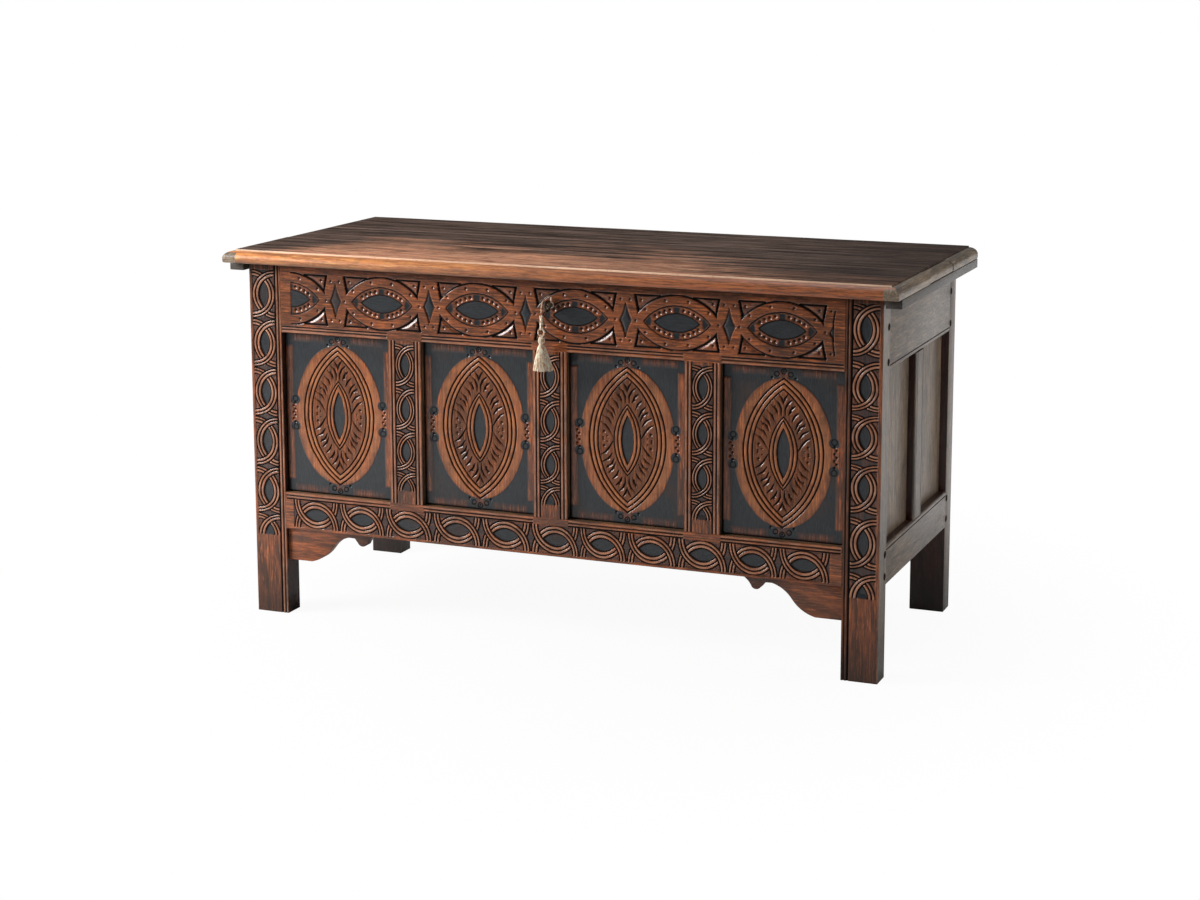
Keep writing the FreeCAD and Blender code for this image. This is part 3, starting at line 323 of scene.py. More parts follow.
def lid_tone(f, tone):
    """Darkens the lid from its handled front to its back and its left end in long streaks, gives it painted
    shade towards its right end and a painted highlight along its front edge, and draws its joints.
    """
    bands = f.noise(f.stretched((0.55, 9.0, 9.0)), 6.0, 5.0, 0.65, 0.3)
    fine = f.noise(f.stretched((0.9, 30.0, 30.0)), 9.0, 4.0, 0.7)
    patches = f.noise(f.stretched((1.0, 2.2, 2.2)), 3.2, 3.0, 0.6)
    across = f.stray(f.stray(f.y, bands, 0.50), patches, 0.40)
    # painted shade: more of the dark back towards the right end
    across = f.plus(across, f.step(f.x, 0.1, 0.62, 0.0, 0.20))
    across = f.plus(across, f.step(f.x, -0.66, -0.42, 0.34, 0.0))
    back = colours().lid_back
    streaks = f.mix(f.step(bands, 0.40, 0.60), shade(back, 1.18), shade(back, 0.42))
    streaks = f.layer(streaks, fine, 0.53, 0.64, 0.6, shade(back, 1.9))
    top = f.layer(tone, across, -0.22, 0.03, 0.97, streaks)
    top = f.layer(top, fine, 0.48, 0.36, 0.55, shade(back, 0.5))
    for joint in LID_JOINTS:
        gap = f.away(f.y, joint)
        top = f.mix(f.step(gap, 1.2 * MM, 3.4 * MM, 0.5, 0.0), top, shade(back, 2.4))
        top = f.mix(f.step(gap, 0.3 * MM, 1.3 * MM, 0.95, 0.0), top, (0.03, 0.02, 0.02))
    # painted shade towards the right end
    top = f.layer(top, f.x, 0.25, 0.62, 0.5, shade(back, 0.45))
    # a painted highlight along the front edge of the top
    painted_arris_highlight = f.step(f.away(f.y, LID_ARRIS), 1.1 * MM, 2.2 * MM, 1.0, 0.0)
    return f.mix(f.times(painted_arris_highlight, f.step(bands, 0.35, 0.6, 0.95, 0.6)), top, (1.0, 0.86, 0.74))


@made_once
def metal(f, colour, roughness, rust=0.35):
    """Forged metal, pitted and browned in patches."""
    pits = f.noise(f.place, 420.0, 4.0, 0.65)
    patch = f.noise(f.place, 70.0, 3.0)
    worn = f.mix(f.step(pits, 0.42, 0.62), colour, shade(colour, 1.35))
    browned = f.layer(worn, patch, 0.45, 0.68, rust, (0.24, 0.15, 0.10))
    shine = f.step(pits, 0.3, 0.7, roughness - 0.1, roughness + 0.14)
    return f.surface(browned, shine, f.bump(pits, 0.25 * MM), Metallic=0.9)


@made_once
def thread(f, shade_patch_share):
    """Silk thread in long strands, some of them yellowed, with brown patches as painted shade between the
    strands.
    """
    strands = f.noise(f.stretched((5.0, 5.0, 0.22)), 90.0, 3.0, 0.6)
    patch = f.noise(f.place, 210.0, 2.0)
    tone = f.mix(f.step(strands, 0.38, 0.54), (0.78, 0.57, 0.36), colours().silk)
    tone = f.layer(tone, patch, 0.46, 0.58, shade_patch_share, (0.62, 0.40, 0.22))
    return f.surface(tone, 0.55, f.bump(strands, 0.3 * MM), Sheen_Weight=0.5, Sheen_Roughness=0.35)


@made_once
def peg_end_grain(f):
    """End grain of the pegs, black with old wax."""
    grain = f.noise(f.place, 420.0, 3.0)
    tone = f.mix(f.step(grain, 0.4, 0.7), (0.045, 0.035, 0.03), (0.15, 0.11, 0.085))
    return f.surface(tone, 0.75, f.bump(grain, 0.3 * MM), Specular_IOR_Level=0.05)


def front_oak():
    colour = shade(colours().carved, 0.94)
    return oak("front_oak_upright", colour, "Z", polish=0.75, rings=0.7, worn=RUBBED_AND_SHEEN_UPRIGHT, grime=DARKER_NEAR_FLOOR)


def front_oak_rail():
    return oak("front_oak_rail", colours().carved, "X", polish=0.75, worn=RUBBED_AND_SHEEN_UPRIGHT)


def panel_oak():
    return oak("front_oak_panel", colours().carved, "Z", polish=0.75, worn=RUBBED_AND_SHEEN_PANEL)


def bracket_oak():
    # painted shade towards the bracket's middle
    hollow = (0.50, 0.42, 0.75)
    return oak("bracket_oak", colours().carved, "X", polish=0.6, streak=0.6, rings=0.6, hollow=hollow)


def side_oak(along):
    return oak("side_oak_" + along, colours().side, along, polish=0.55, streak=0.45, grime=DARKER_NEAR_FLOOR)


def side_panel_oak():
    return oak("side_panel_oak", shade(colours().side, 1.2), "Z", polish=0.45, grime=(0.2, 0.3, 0.4))


def cleat_oak():
    # darker than the sides: painted shade under the lid's overhang
    return oak("cleat_oak", shade(colours().side, 0.62), "Y", polish=0.45, rings=0.25)


def edge_oak():
    """The narrow faces of the frame: unrubbed oak, darkened further by painted shade in the recesses."""
    return oak("edge_oak", (0.25, 0.135, 0.09), "Z", polish=0.5, streak=0.6, rings=0.6, grime=DARKER_NEAR_FLOOR)


def raw_oak(along):
    return oak("raw_oak_" + along, colours().raw, along, polish=0.0, streak=0.4)


def lid_skins():
    """The finishes of the lid's top, front moulding, end mouldings and underside."""
    # the front moulding takes painted shade under its round and painted shade falling off towards the right
    # end
    rubbed = oak(
        "nosing_oak", colours().nosing, "X", polish=0.6, streak=0.3, rings=0.2,
        grime=(0.697, 0.712, 0.85), fade=(-0.55, 0.35, (0.62, 0.31, 0.15)),
    )
    # the end mouldings' pale grey is partly the oak and partly a painted sheen
    ends = oak("lid_end_oak", (0.52, 0.46, 0.39), "Y", polish=0.5, rings=0.3)
    return [oak("lid_oak", colours().lid_front, "X", polish=0.75, lid=True), rubbed, ends, raw_oak("X")]


def old_iron():
    return metal("old_iron", colours().iron, 0.55)


# ---------------------------------------------------------------- pieces


def settle(name, bm, body, skins, node, smooth_angle=35.0):
    """Turns a finished bmesh into a piece that rides on its body and stands for its node."""
    mesh = bpy.data.meshes.new(name)
    bm.to_mesh(mesh)
    bm.free()
    for skin in skins:
        mesh.materials.append(skin)
    if smooth_angle:
        mesh.polygons.foreach_set("use_smooth", np.ones(len(mesh.polygons), dtype=bool))
        mesh.set_sharp_from_angle(angle=math.radians(smooth_angle))
    piece = bpy.data.objects.new(name, mesh)
    bpy.context.scene.collection.objects.link(piece)
    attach(piece, body)
    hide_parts(node)
    return piece


def plain(bm, node, *skins, prefix="planed_"):
    """Settles a board of the carcass that isn't carved."""
    return settle(prefix + node, bm, "carcass", skins, node)


def unit(axis):
    return Vector([1.0 if n == axis else 0.0 for n in range(3)])


def block(low, high):
    """A cuboid between two corners."""
    bm = bmesh.new()
    bmesh.ops.create_cube(bm, size=1.0)
    bmesh.ops.scale(bm, vec=Vector(high) - Vector(low), verts=bm.verts)
    bmesh.ops.translate(bm, vec=(Vector(high) + Vector(low)) / 2, verts=bm.verts)
    return bm


def within(node, **limits):
    """The corners of a node's box, with its limits along some axes moved."""
    low, high = (Vector(corner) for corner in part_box(node))
    for axis, (start, end) in limits.items():
        setattr(low, axis, start)
        setattr(high, axis, end)
    return low, high


def bevel(bm, edges, width, segments, clamp=False):
    bmesh.ops.bevel(
        bm, geom=edges, offset=width, segments=segments, affect="EDGES", profile=0.5, material=-1,
        clamp_overlap=clamp,
    )


def ease(bm, width, angle=30.0):
    """Rounds every edge that is sharper than the angle."""
    limit = math.radians(angle)
    sharp = [e for e in bm.edges if len(e.link_faces) == 2 and e.calc_face_angle(0.0) > limit]
    bevel(bm, sharp, width, 2, clamp=True)


def cut_across(bm, axis, place):
    """Cuts a bmesh in two at a place along one axis, and keeps both halves joined."""
    normal = unit(axis)
    bmesh.ops.bisect_plane(
        bm, geom=bm.verts[:] + bm.edges[:] + bm.faces[:], plane_co=normal * place, plane_no=normal, dist=1e-7
    )


def of_kind(geom, kind):
    return [g for g in geom if isinstance(g, kind)]


def copied(node):
    """A merged copy of a frame node's shape, with its flat faces whole."""
    bm = bmesh.new()
    bm.from_mesh(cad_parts[node].data)
    bmesh.ops.remove_doubles(bm, verts=bm.verts, dist=0.01 * MM)
    bmesh.ops.dissolve_limit(
        bm, angle_limit=math.radians(1.0), verts=bm.verts, edges=bm.edges, use_dissolve_boundaries=False
    )
    return bm


def eased_copy(node, width, angle):
    """A copy of a frame node with its edges rounded by a width in mm."""
    bm = copied(node)
    ease(bm, width * MM, angle)
    return bm


def wander(across, along, seed, reach=60.0):
    """A smooth unevenness between -1 and 1, as a hand plane and a gouge leave it. Lengths in mm."""
    dice = np.random.default_rng(seed)
    total = np.zeros(np.broadcast(across, along).shape)
    octaves = 5
    for _ in range(octaves):
        turn = dice.uniform(0, 2 * math.pi)
        wave = 2 * math.pi / (reach * dice.uniform(0.45, 1.3))
        shift = dice.uniform(0, 2 * math.pi)
        total = total + np.sin(wave * (across * math.cos(turn) + along * math.sin(turn)) + shift)
    return total / octaves


# ---------------------------------------------------------------- carving, lengths in mm

GOUGE_HALF = 3.9
GOUGE_DEPTH = 2.5


class Relief:
    """What the carver has done at each point of a board: how deep, how stained, how dirty or darkened by
    painted shade, how rubbed or lightened by painted sheen.
    """

    def __init__(self, u, w, seed=None):
        self.u = u
        self.w = w
        self.seed = seed
        for layer in ("depth", *COLOURED):
            setattr(self, layer, np.zeros_like(u))
        if seed is not None:
            self.uneven = wander(u, w, seed)

    def mark(self, **layers):
        """Makes the wood at least this deep, stained, dirty or darkened by painted shade, or rubbed or
        lightened by painted sheen.
        """
        for layer, value in layers.items():
            setattr(self, layer, np.maximum(getattr(self, layer), value))

    def line(self, distance, half, depth, where=1.0, dirt=1.0):
        """A V-tool line along distance = 0, black with soil and painted shade."""
        cut = np.clip(1 - np.abs(distance) / half, 0, 1) * where
        self.mark(depth=depth * cut, dirt=dirt * np.clip(cut * 2.8 - 0.10, 0, 1))

    def sink(self, mask, depth, stain=1.0):
        """Ground cut down inside a soft mask from 0 to 1."""
        self.mark(depth=depth * mask, stain=stain * mask)

    def pit(self, u, w, radius, depth):
        """A round punch mark, black with soil and with painted shade on its upper left side."""
        away = np.hypot(self.u - u, self.w - w)
        self.depth = self.depth + depth * np.clip(1 - away / radius, 0, 1)
        core = np.hypot(self.u - u + 0.15 * radius, self.w - w - 0.25 * radius) - 0.55 * radius
        self.mark(dirt=0.9 * np.clip(0.6 - core / 1.2, 0, 1))

    def ring(self, u, w, radius, depth):
        """A small ring punch with its middle left standing."""
        cut = np.clip(1 - np.abs(np.hypot(self.u - u, self.w - w) - radius) / 1.4, 0, 1)
        self.mark(depth=depth * cut, dirt=0.9 * np.clip(cut * 1.8, 0, 1))

    def gouge(self, points):
        """A tapering gouge cut along a few points, with its shadow to the upper left."""
        best = np.full_like(self.u, 1e9)
        shaded = np.full_like(self.u, 1e9)
        share = np.zeros_like(self.u)
        runs = len(points) - 1
        for n, ((u0, w0), (u1, w1)) in enumerate(zip(points, points[1:])):
            du, dw = u1 - u0, w1 - w0
            t = np.clip(((self.u - u0) * du + (self.w - w0) * dw) / (du * du + dw * dw), 0, 1)
            away = np.hypot(self.u - u0 - t * du, self.w - w0 - t * dw)
            shaded = np.minimum(shaded, np.hypot(self.u + 1.1 - u0 - t * du, self.w - 0.7 - w0 - t * dw))
            nearer = away < best
            best = np.where(nearer, away, best)
            share = np.where(nearer, (n + t) / runs, share)
        taper = 0.45 + 0.55 * np.sin(math.pi * np.clip(share * 0.9 + 0.08, 0, 1))
        cut = np.clip(1 - best / (GOUGE_HALF * taper), 0, 1)
        hidden = np.clip(1 - shaded / (GOUGE_HALF * taper), 0, 1)
        self.mark(depth=GOUGE_DEPTH * taper * cut, dirt=0.98 * np.clip(hidden * 3.0 - 0.9, 0, 1))

    def bead(self, position, low, high, drop, where=1.0):
        """A rounded bead between two quirks, lighter along its crown by wear and a painted highlight."""
        x = np.clip((position - (low + high) / 2) / ((high - low) / 2), -1, 1)
        inside = ((position > low) & (position < high)) * where
        self.mark(depth=inside * (drop * (1 - np.sqrt(1 - x * x))), rub=inside * (1 - np.abs(x) * 1.4))

    def double_bead(self, position, quirks, beads, where=1.0):
        """Two beads of (low, high, drop) beside quirks of (place, half width, depth)."""
        for place, half, depth in quirks:
            self.line(position - place, half, depth, where)
        for low, high, drop in beads:
            self.bead(position, low, high, drop, where)

    def strew(self, mask, count, us, ws, radius=1.4, depth=0.8):
        """Texture punches strewn over a masked field."""
        dice = np.random.default_rng(self.seed + 1)
        texture = np.zeros_like(self.u)
        for u, w in zip(dice.uniform(*us, count), dice.uniform(*ws, count)):
            near = (np.abs(self.u - u) < 3) & (np.abs(self.w - w) < 3)
            if near.any():
                away = np.hypot(self.u[near] - u, self.w[near] - w)
                texture[near] = np.maximum(texture[near], np.clip(1 - away / radius, 0, 1))
        self.depth = self.depth + depth * texture * mask
        self.mark(dirt=0.85 * texture * mask)


def soft(distance, width=1.0):
    """1 inside (distance below 0), 0 outside, soft over the width."""
    return np.clip(0.5 - distance / width, 0, 1)


def oval(u, w, half_u, half_w):
    """Roughly the distance outside an ellipse, below 0 inside."""
    f = np.sqrt((u / half_u) ** 2 + (w / half_w) ** 2)
    slope = np.sqrt((u / half_u**2) ** 2 + (w / half_w**2) ** 2) / np.maximum(f, 1e-6)
    return (f - 1) / np.maximum(slope, 1e-6)


def pointed(along, across, length, width):
    """Distance outside a pointed oval of two arcs; length and width are its half sizes."""
    radius = (length**2 + width**2) / (2 * width)
    return np.hypot(np.abs(across) + (radius - width), along) - radius


def run_out(s, span, reach):
    """Fades the carving out over a reach at both ends of its span."""
    return np.clip((s - span[0]) / reach, 0, 1) * np.clip((span[1] - s) / reach, 0, 1)


# an interlaced band: half its width, the half sizes of its strands' outer, middle and inner ellipses across
# and along it, 1 where the strand on the low side is uppermost at the high end of an eye and -1 where it
# isn't, the depth of its lines and the depth of its stained eyes
STILE_BAND = (24.85, (49.7, 42.7, 35.3), (47.3, 41.7, 35.0), 1, 2.3, 2.4)
MUNTIN_BAND = (20.25, (40.5, 35.2, 29.6), (41.0, 35.6, 30.2), 1, 2.1, 2.2)
RAIL_BAND = (27.2, (54.4, 47.2, 39.6), (48.2, 42.2, 35.8), -1, 2.3, 2.4)


def guilloche(r, s, t, centres, span, band):
    """Two interlaced strands along s and across t, with their stained eyes at the centres.

    Returns where the corners between the strands lie, and where the band is carved at all.
    """
    half_band, lines, rises, lead, v_depth, ground = band
    centres = np.array(sorted(centres))
    index = np.abs(s[..., None] - centres).argmin(-1)
    middle = centres[index]
    usual = np.median(np.diff(centres))
    pitches = np.concatenate([[usual], np.diff(centres), [usual]])
    rel = (s - middle) * usual / np.where(s > middle, pitches[index + 1], pitches[index])
    low_side, high_side = (
        [oval(t - edge, rel, line, rise) for line, rise in zip(lines, rises)]
        for edge in (half_band, -half_band)
    )
    carved = run_out(s, span, 2.5) * np.clip((half_band - np.abs(t)) / 1.2 + 0.3, 0, 1)
    whole = ((s > centres[0] - usual / 2) & (s < centres[-1] + usual / 2)).astype(float)

    low_is_over = (rel * lead) > 0
    low_zone = np.maximum(low_side[0], -low_side[2])
    high_zone = np.maximum(high_side[0], -high_side[2])
    margin = 1.0
    on_over = np.where(low_is_over, low_zone, high_zone) < margin

    eye = soft(np.maximum(low_side[2], high_side[2]) + 1.0, 1.2) * carved
    wing = soft(1.0 - np.minimum(low_side[0], high_side[0]), 1.2)
    r.sink(eye * run_out(s, span, 10.0), ground)
    r.mark(stain=eye)
    r.sink(wing * carved * whole, ground * 0.4, 0.8)
    corner = np.maximum(
        soft(np.maximum(low_side[2], -high_side[0]) + 0.8, 1.2),
        soft(np.maximum(high_side[2], -low_side[0]) + 0.8, 1.2),
    ) * carved
    r.sink(corner, 0.9, 0.45)
    for zone, is_over, rings in ((low_zone, low_is_over, low_side), (high_zone, ~low_is_over, high_side)):
        drawn = (is_over | ~on_over) * (zone < margin + 0.6) * carved
        for ring in rings:
            r.line(ring, 1.9, v_depth, where=drawn)
        # the bands between the lines are lightened: wear and painted sheen
        for outer, inner in zip(rings, rings[1:]):
            r.mark(rub=np.clip(np.minimum(-outer, inner) - 1.2, 0, 1) * drawn)
    return corner, carved


# half sizes of a panel in its opening and of a stile's face, and what lies how far in on a stile
PANEL_HALF = 115.94
PANEL_HALF_TALL = 158.5
STILE_HALF = 34.25
STILE_BAND_MIDDLE = 30.95
STILE_BEADS_FROM = 54.0


def carve_stile(r, centres, half_bottom, mirrored):
    """A stile's face: an interlaced band beside a double bead that runs down to the floor."""
    hand = -1.0 if mirrored else 1.0
    outer = STILE_HALF + hand * r.u
    t = (outer - STILE_BAND_MIDDLE) * hand
    corner, carved = guilloche(
        r, r.w + r.uneven * 0.35, t + r.uneven * 0.25, [*centres, half_bottom], (half_bottom, 688), STILE_BAND
    )
    r.strew(corner, 2600, (-34, 34), (half_bottom, 690))
    r.double_bead(outer, ((55.9, 2.4, 2.4), (63.4, 1.6, 1.9)), ((56.6, 62.6, 1.2), (64.0, 68.5, 1.2)))
    r.line(outer - 6.0, 0.6, 0.25, where=carved, dirt=0.3)
    # the stile's long corners are rounded and lightened: wear and a painted highlight
    for away in (r.u + STILE_HALF, STILE_HALF - r.u):
        x = np.clip(1 - away / 1.6, 0, 1)
        r.mark(depth=0.9 * (1 - np.sqrt(1 - x * x)), rub=np.clip(1 - away / 2.5, 0, 1) * 0.6)
    # painted shadow of the lid's overhang across the stile's top
    r.mark(dirt=0.6 * soft(678.0 - r.w + 4.0 * r.uneven, 22.0))
    if mirrored:
        beads = soft(STILE_BEADS_FROM - outer, 2.0)
        r.rub = r.rub * (1 - 0.8 * beads)
        r.mark(dirt=0.45 * beads)
    else:
        r.mark(rub=0.55 * soft(176.0 - r.w, 30.0) * soft(r.w - 45.0, 40.0))


# the eyes' middles, and that of the half eye at the foot
MUNTIN_EYES = (516.3, 429.9, 347.3)
MUNTIN_FOOT = 271.0


def carve_muntin(r):
    """A muntin's face: a narrower interlaced band between double beads."""
    corner, _ = guilloche(
        r, r.w + r.uneven * 0.3, r.u + r.uneven * 0.2, [*MUNTIN_EYES, MUNTIN_FOOT], (MUNTIN_FOOT - 1, 558),
        MUNTIN_BAND,
    )
    r.strew(corner, 1100, (-21, 21), (MUNTIN_FOOT, 560), radius=1.2)
    for side in ENDS:
        beads = ((21.3, 27.0, 1.1), (28.2, 34.2, 1.3))
        r.double_bead(side * r.u, ((20.6, 1.7, 1.9), (27.6, 1.5, 1.8)), beads)


def bays(u):
    """Where the stopped beads run along the rails, one bay for each panel."""
    run = np.zeros_like(u, dtype=bool)
    for middle in (-450.56, -150.19, 150.19, 450.56):
        run |= (u > middle - PANEL_HALF + 2) & (u < middle + PANEL_HALF - 2)
    return run


RAIL_EYES = (-498.9, -398.1, -298.8, -194.1, -93.2, 11.4, 104, 202.2, 302, 399.5, 494.4)
RAIL_SPAN = (-552, 548)
RAIL_BAND_MIDDLE = 204.6


def carve_bottom_rail(r):
    """The bottom rail: lying interlaced eyes below a stopped double bead."""
    corner, _ = guilloche(
        r, r.u + r.uneven * 0.3, r.w - RAIL_BAND_MIDDLE + r.uneven * 0.3, RAIL_EYES, RAIL_SPAN, RAIL_BAND
    )
    r.strew(corner, 3800, RAIL_SPAN, (176, 233))
    beads = ((234.4, 238.9, 1.3), (240.4, 246.0, 1.6))
    r.double_bead(r.w, ((233.6, 1.7, 1.9), (239.6, 1.5, 1.8)), beads, where=bays(r.u).astype(float))


FRIEZE_MIDDLE = 631.2
FRIEZE_PITCH = 199.2
FRIEZE_FIRST = -346.8
# the round bands are arcs about points this far below and above the middle
ARC_DROP = 49.3
ARC_RADIUS = 99.9
# across and up from an eye's middle, or from halfway between two eyes, radius and depth of each punch mark
EYE_PITS = [(22, 39.5, 4.0, 2.0), (61, 21.5, 4.0, 2.0), (69, 38, 4.0, 2.0)] + [
    (72.0 * math.sin(turn), 72.0 * math.cos(turn) - 48.2, 4.8, 2.6)
    for turn in map(math.radians, (10.5, 18.8, 27.1, 35.0))
]
BETWEEN_PIT = (9, 38, 3.6, 1.8)


def carve_frieze(r):
    """The top rail: pointed eyes in round bands, with diamonds and sunk corners between."""
    u, w, uneven = r.u, r.w, r.uneven
    z = w - FRIEZE_MIDDLE + uneven * 0.3
    k = np.round((u - FRIEZE_FIRST) / FRIEZE_PITCH)
    x = u - FRIEZE_FIRST - k * FRIEZE_PITCH + uneven * 0.4
    ax = np.abs(x)
    az = np.abs(z)
    inside = ((az < 51.5) & (u > -544) & (u < 546)).astype(float)

    eye = pointed(x, z, 43.5, 17.0)
    ring = pointed(x, z, 64.0, 31.0)
    r.sink(soft(eye, 1.4) * inside, 0.9)
    r.line(eye, 1.7, 1.1, where=inside)
    r.line(ring, 1.7, 0.9, where=inside)

    between = soft(ring + 2.0, 1.0) * soft(-eye + 1.4, 1.0) * inside
    r.mark(depth=0.4 * between, dirt=between * 0.2)
    tips = soft(np.hypot(ax - 67.0, z) - 18.0 + 2.5 * uneven, 4.0)
    cardinal = np.maximum(soft(ax - 6.5 + 2.0 * uneven, 5.0), tips) * between
    r.sink(cardinal, 1.0)
    r.mark(dirt=0.45 * cardinal)
    arc = np.hypot(x, az + ARC_DROP) - ARC_RADIUS
    r.line(arc, 2.4, 1.8, where=(ax < 77) * inside)

    side_line = 83.0 - (49.8 - az) * (83.0 - 76.2) / (49.8 - 16.0)
    corner = np.maximum(np.maximum(-arc + 0.6, az - 49.4), ax - side_line)
    sunk = soft(np.maximum(corner, 31.0 - ax) + 0.4, 0.8) * inside
    slope = np.clip(1 - (arc - 0.8) / 6.5, 0, 1)
    r.mark(depth=sunk * (0.7 + 3.2 * slope), stain=0.18 * sunk)
    border = (sunk > 0) * ((ax > 30) & (ax < 86) & (az > 14)) * inside
    r.line(az - 48.0, 3.2, 2.8, where=border)
    r.line(ax - side_line + 2.0, 3.8, 3.4, where=border)
    r.mark(dirt=sunk * np.clip(1.4 - (arc - 0.6) / 1.4, 0, 1))

    diamond_x = np.maximum(np.abs(ax - FRIEZE_PITCH / 2) / 11.9, 1e-4)
    within = (1 - (diamond_x**0.82 + np.maximum(az / 33.0, 1e-4) ** 0.82)) * 8.5 + 1.0
    r.mark(
        depth=inside * np.interp(within, (0, 1.2, 3.6, 9), (0, 2.8, 1.2, 1.0)),
        stain=inside * np.clip(within - 1.2, 0, 1),
        dirt=inside * np.clip(1.15 - np.abs(within - 1.0) * 1.3, 0, 1),
    )

    r.strew(sunk * soft(4.0 - arc, 1.0), 5000, (-560, 560), (580, 684), radius=1.2, depth=0.5)
    for n in range(-1, 6):
        centre = FRIEZE_FIRST + n * FRIEZE_PITCH
        halfway = centre + FRIEZE_PITCH / 2
        for across, up in CORNERS:
            for du, dw, radius, depth in EYE_PITS:
                r.pit(centre + across * du, FRIEZE_MIDDLE + up * dw, radius, depth)
            du, dw, radius, depth = BETWEEN_PIT
            r.pit(halfway + across * du, FRIEZE_MIDDLE + up * dw, radius, depth)
        for across in ENDS:
            r.pit(halfway + across * 20, FRIEZE_MIDDLE, 3.6, 1.8)
    trimmed = (inside > 0) | (w < 580)
    r.depth, r.dirt, r.stain = (np.where(trimmed, layer, 0) for layer in (r.depth, r.dirt, r.stain))

    r.line(u - 543.5 - 6.0 * (z / 50.0) ** 2, 1.7, 1.9, where=(az < 40).astype(float))
    low_zone = bays(u) & (w < 576.5)
    beads = Relief(u, w)
    beads.double_bead(w, ((575.6, 1.8, 1.9), (569.6, 1.6, 1.8)), ((563.0, 569.0, 1.3), (570.2, 575.0, 1.1)))
    for layer in ("depth", "dirt", "rub"):
        setattr(r, layer, np.where(low_zone, getattr(beads, layer), getattr(r, layer)))
    # painted shadow of the lid's overhang along the rail's top
    r.mark(dirt=0.5 * soft(685.0 - w + 3.0 * uneven, 12.0))


LEAF_GOUGES = (
    ((-8, 107), (-2.5, 99), (0.3, 90)),
    ((-16.3, 98), (-8.5, 91), (-3.8, 81.4), (-3.8, 68.6)),
    ((-28.8, 75.3), (-21, 68), (-16.3, 58)),
    ((-36.3, 64.2), (-28, 56), (-23, 44.8)),
    ((-48, 43.7), (-37, 38), (-29.7, 27.4)),
    ((-51.3, 30.7), (-43, 26), (-36.3, 17.9), (-28, 4.4)),
    ((-22, 87), (-14, 80), (-10, 70)),
    ((-41, 55), (-31, 48), (-26, 37)),
)
# across and up from the panel's middle, radius and depth
LEAF_PITS = (
    (-16.3, 85, 3.0, 1.9), (-13, 75.3, 3.0, 1.9), (-38.8, 51.3, 3.0, 1.9), (-48, 2, 3.0, 1.9),
    (46.3, 13.5, 4.2, 2.2), (40.0, 5.5, 2.6, 1.6),
)
# the half sizes of the pointed ovals round the leaves, and of the leaf in the middle
FRAME_OVALS = ((136.6, 75.5), (127.3, 67.0), (117.3, 58.8))
LEAF_OVALS = ((67.0, 26.5), (60.0, 19.2))
CORE_OVAL = (45.6, 12.0)
FIELD_OVAL = (93.0, 137.0)


def carve_panel(r):
    """A panel: a leaf-filled pointed oval on an oval field, on a stained ground."""
    x = r.u + r.uneven * 0.5
    z = r.w + r.uneven * 0.5
    ax = np.abs(x)
    az = np.abs(z)

    field = oval(x, z, *FIELD_OVAL)
    edge_bar = np.maximum(np.abs(PANEL_HALF - ax - 8.3) - 7.5, az - 131.5)
    end_bar = np.maximum(np.maximum(np.abs(PANEL_HALF_TALL - az - 8.0) - 6.0, ax - 96.0), 30.0 - ax)
    bridge = np.maximum(np.maximum(ax - 112.0, 84.0 - ax), az - 20.0)
    trefoil = np.minimum(np.hypot(ax - 6.0, az - 144.0) - 5.5, np.hypot(ax, az - 139.0) - 7.0)
    brown = soft(field, 2.2)
    for patch in (
        0.85 * soft(edge_bar, 5.0), (0.42 + 0.25 * r.uneven) * soft(end_bar, 9.0), soft(bridge, 2.0),
        0.40 * soft(trefoil, 3.0),
    ):
        brown = np.maximum(brown, patch)
    brown = brown * (1 - soft(np.hypot(ax - 95.0, az - 26.0) - 10.0, 1.6))
    # the field is lightened: wear and painted sheen
    r.rub = 0.55 * soft(field + 3.0, 8.0)
    r.depth = 0.5 * (1 - np.clip(brown * 1.6, 0, 1))
    for length, width in FRAME_OVALS:
        r.line(pointed(z, x, length, width), 2.0, 2.2)
    outer = pointed(z, x, *FRAME_OVALS[0])
    inside = pointed(z, x, *FRAME_OVALS[-1])
    r.stain = np.where(outer < 0, 0, 1 - brown)
    r.mark(rub=soft(outer + 1.5) * soft(-inside + 1.5) * 0.8)

    in_leaf = soft(inside + 2.0, 2.5) * soft(-pointed(z, x, *LEAF_OVALS[0]) + 1.0, 2.0)
    r.mark(depth=in_leaf * 0.6, dirt=in_leaf * 0.34)
    r.rub = r.rub * (1 - 0.6 * in_leaf)
    for across, up in CORNERS:
        for cut in LEAF_GOUGES:
            r.gouge([(across * a, up * b) for a, b in cut])
        for a, b, radius, depth in LEAF_PITS:
            r.pit(across * a, up * b, radius, depth)
    for length, width in LEAF_OVALS:
        r.line(pointed(z, x, length, width), 1.8, 2.0)
    core = pointed(z, x, *CORE_OVAL)
    r.sink(soft(core, 1.4), 2.2)
    r.line(core, 1.2, 1.6)

    for across in ENDS:
        for step in range(-3, 4):
            r.pit(across * (98.0 + 2.0 * (-1) ** step), step * 6.3, 3.8, 2.0)
        for up in ENDS:
            r.ring(across * 95.0, up * 28.0, 5.2, 0.8)
            r.pit(across * 22.0, up * 137.6, 3.6, 1.8)
            r.ring(across * 13.0, up * 145.0, 4.4, 1.5)
    for up in ENDS:
        r.ring(0, up * 150.0, 4.6, 1.7)
        r.pit(0, up * 150.0, 2.6, 1.2)
    # painted shadow in the gap round the panel's edges
    r.mark(dirt=0.95 * soft(np.minimum(112.6 - ax, 155.6 - az), 1.4))


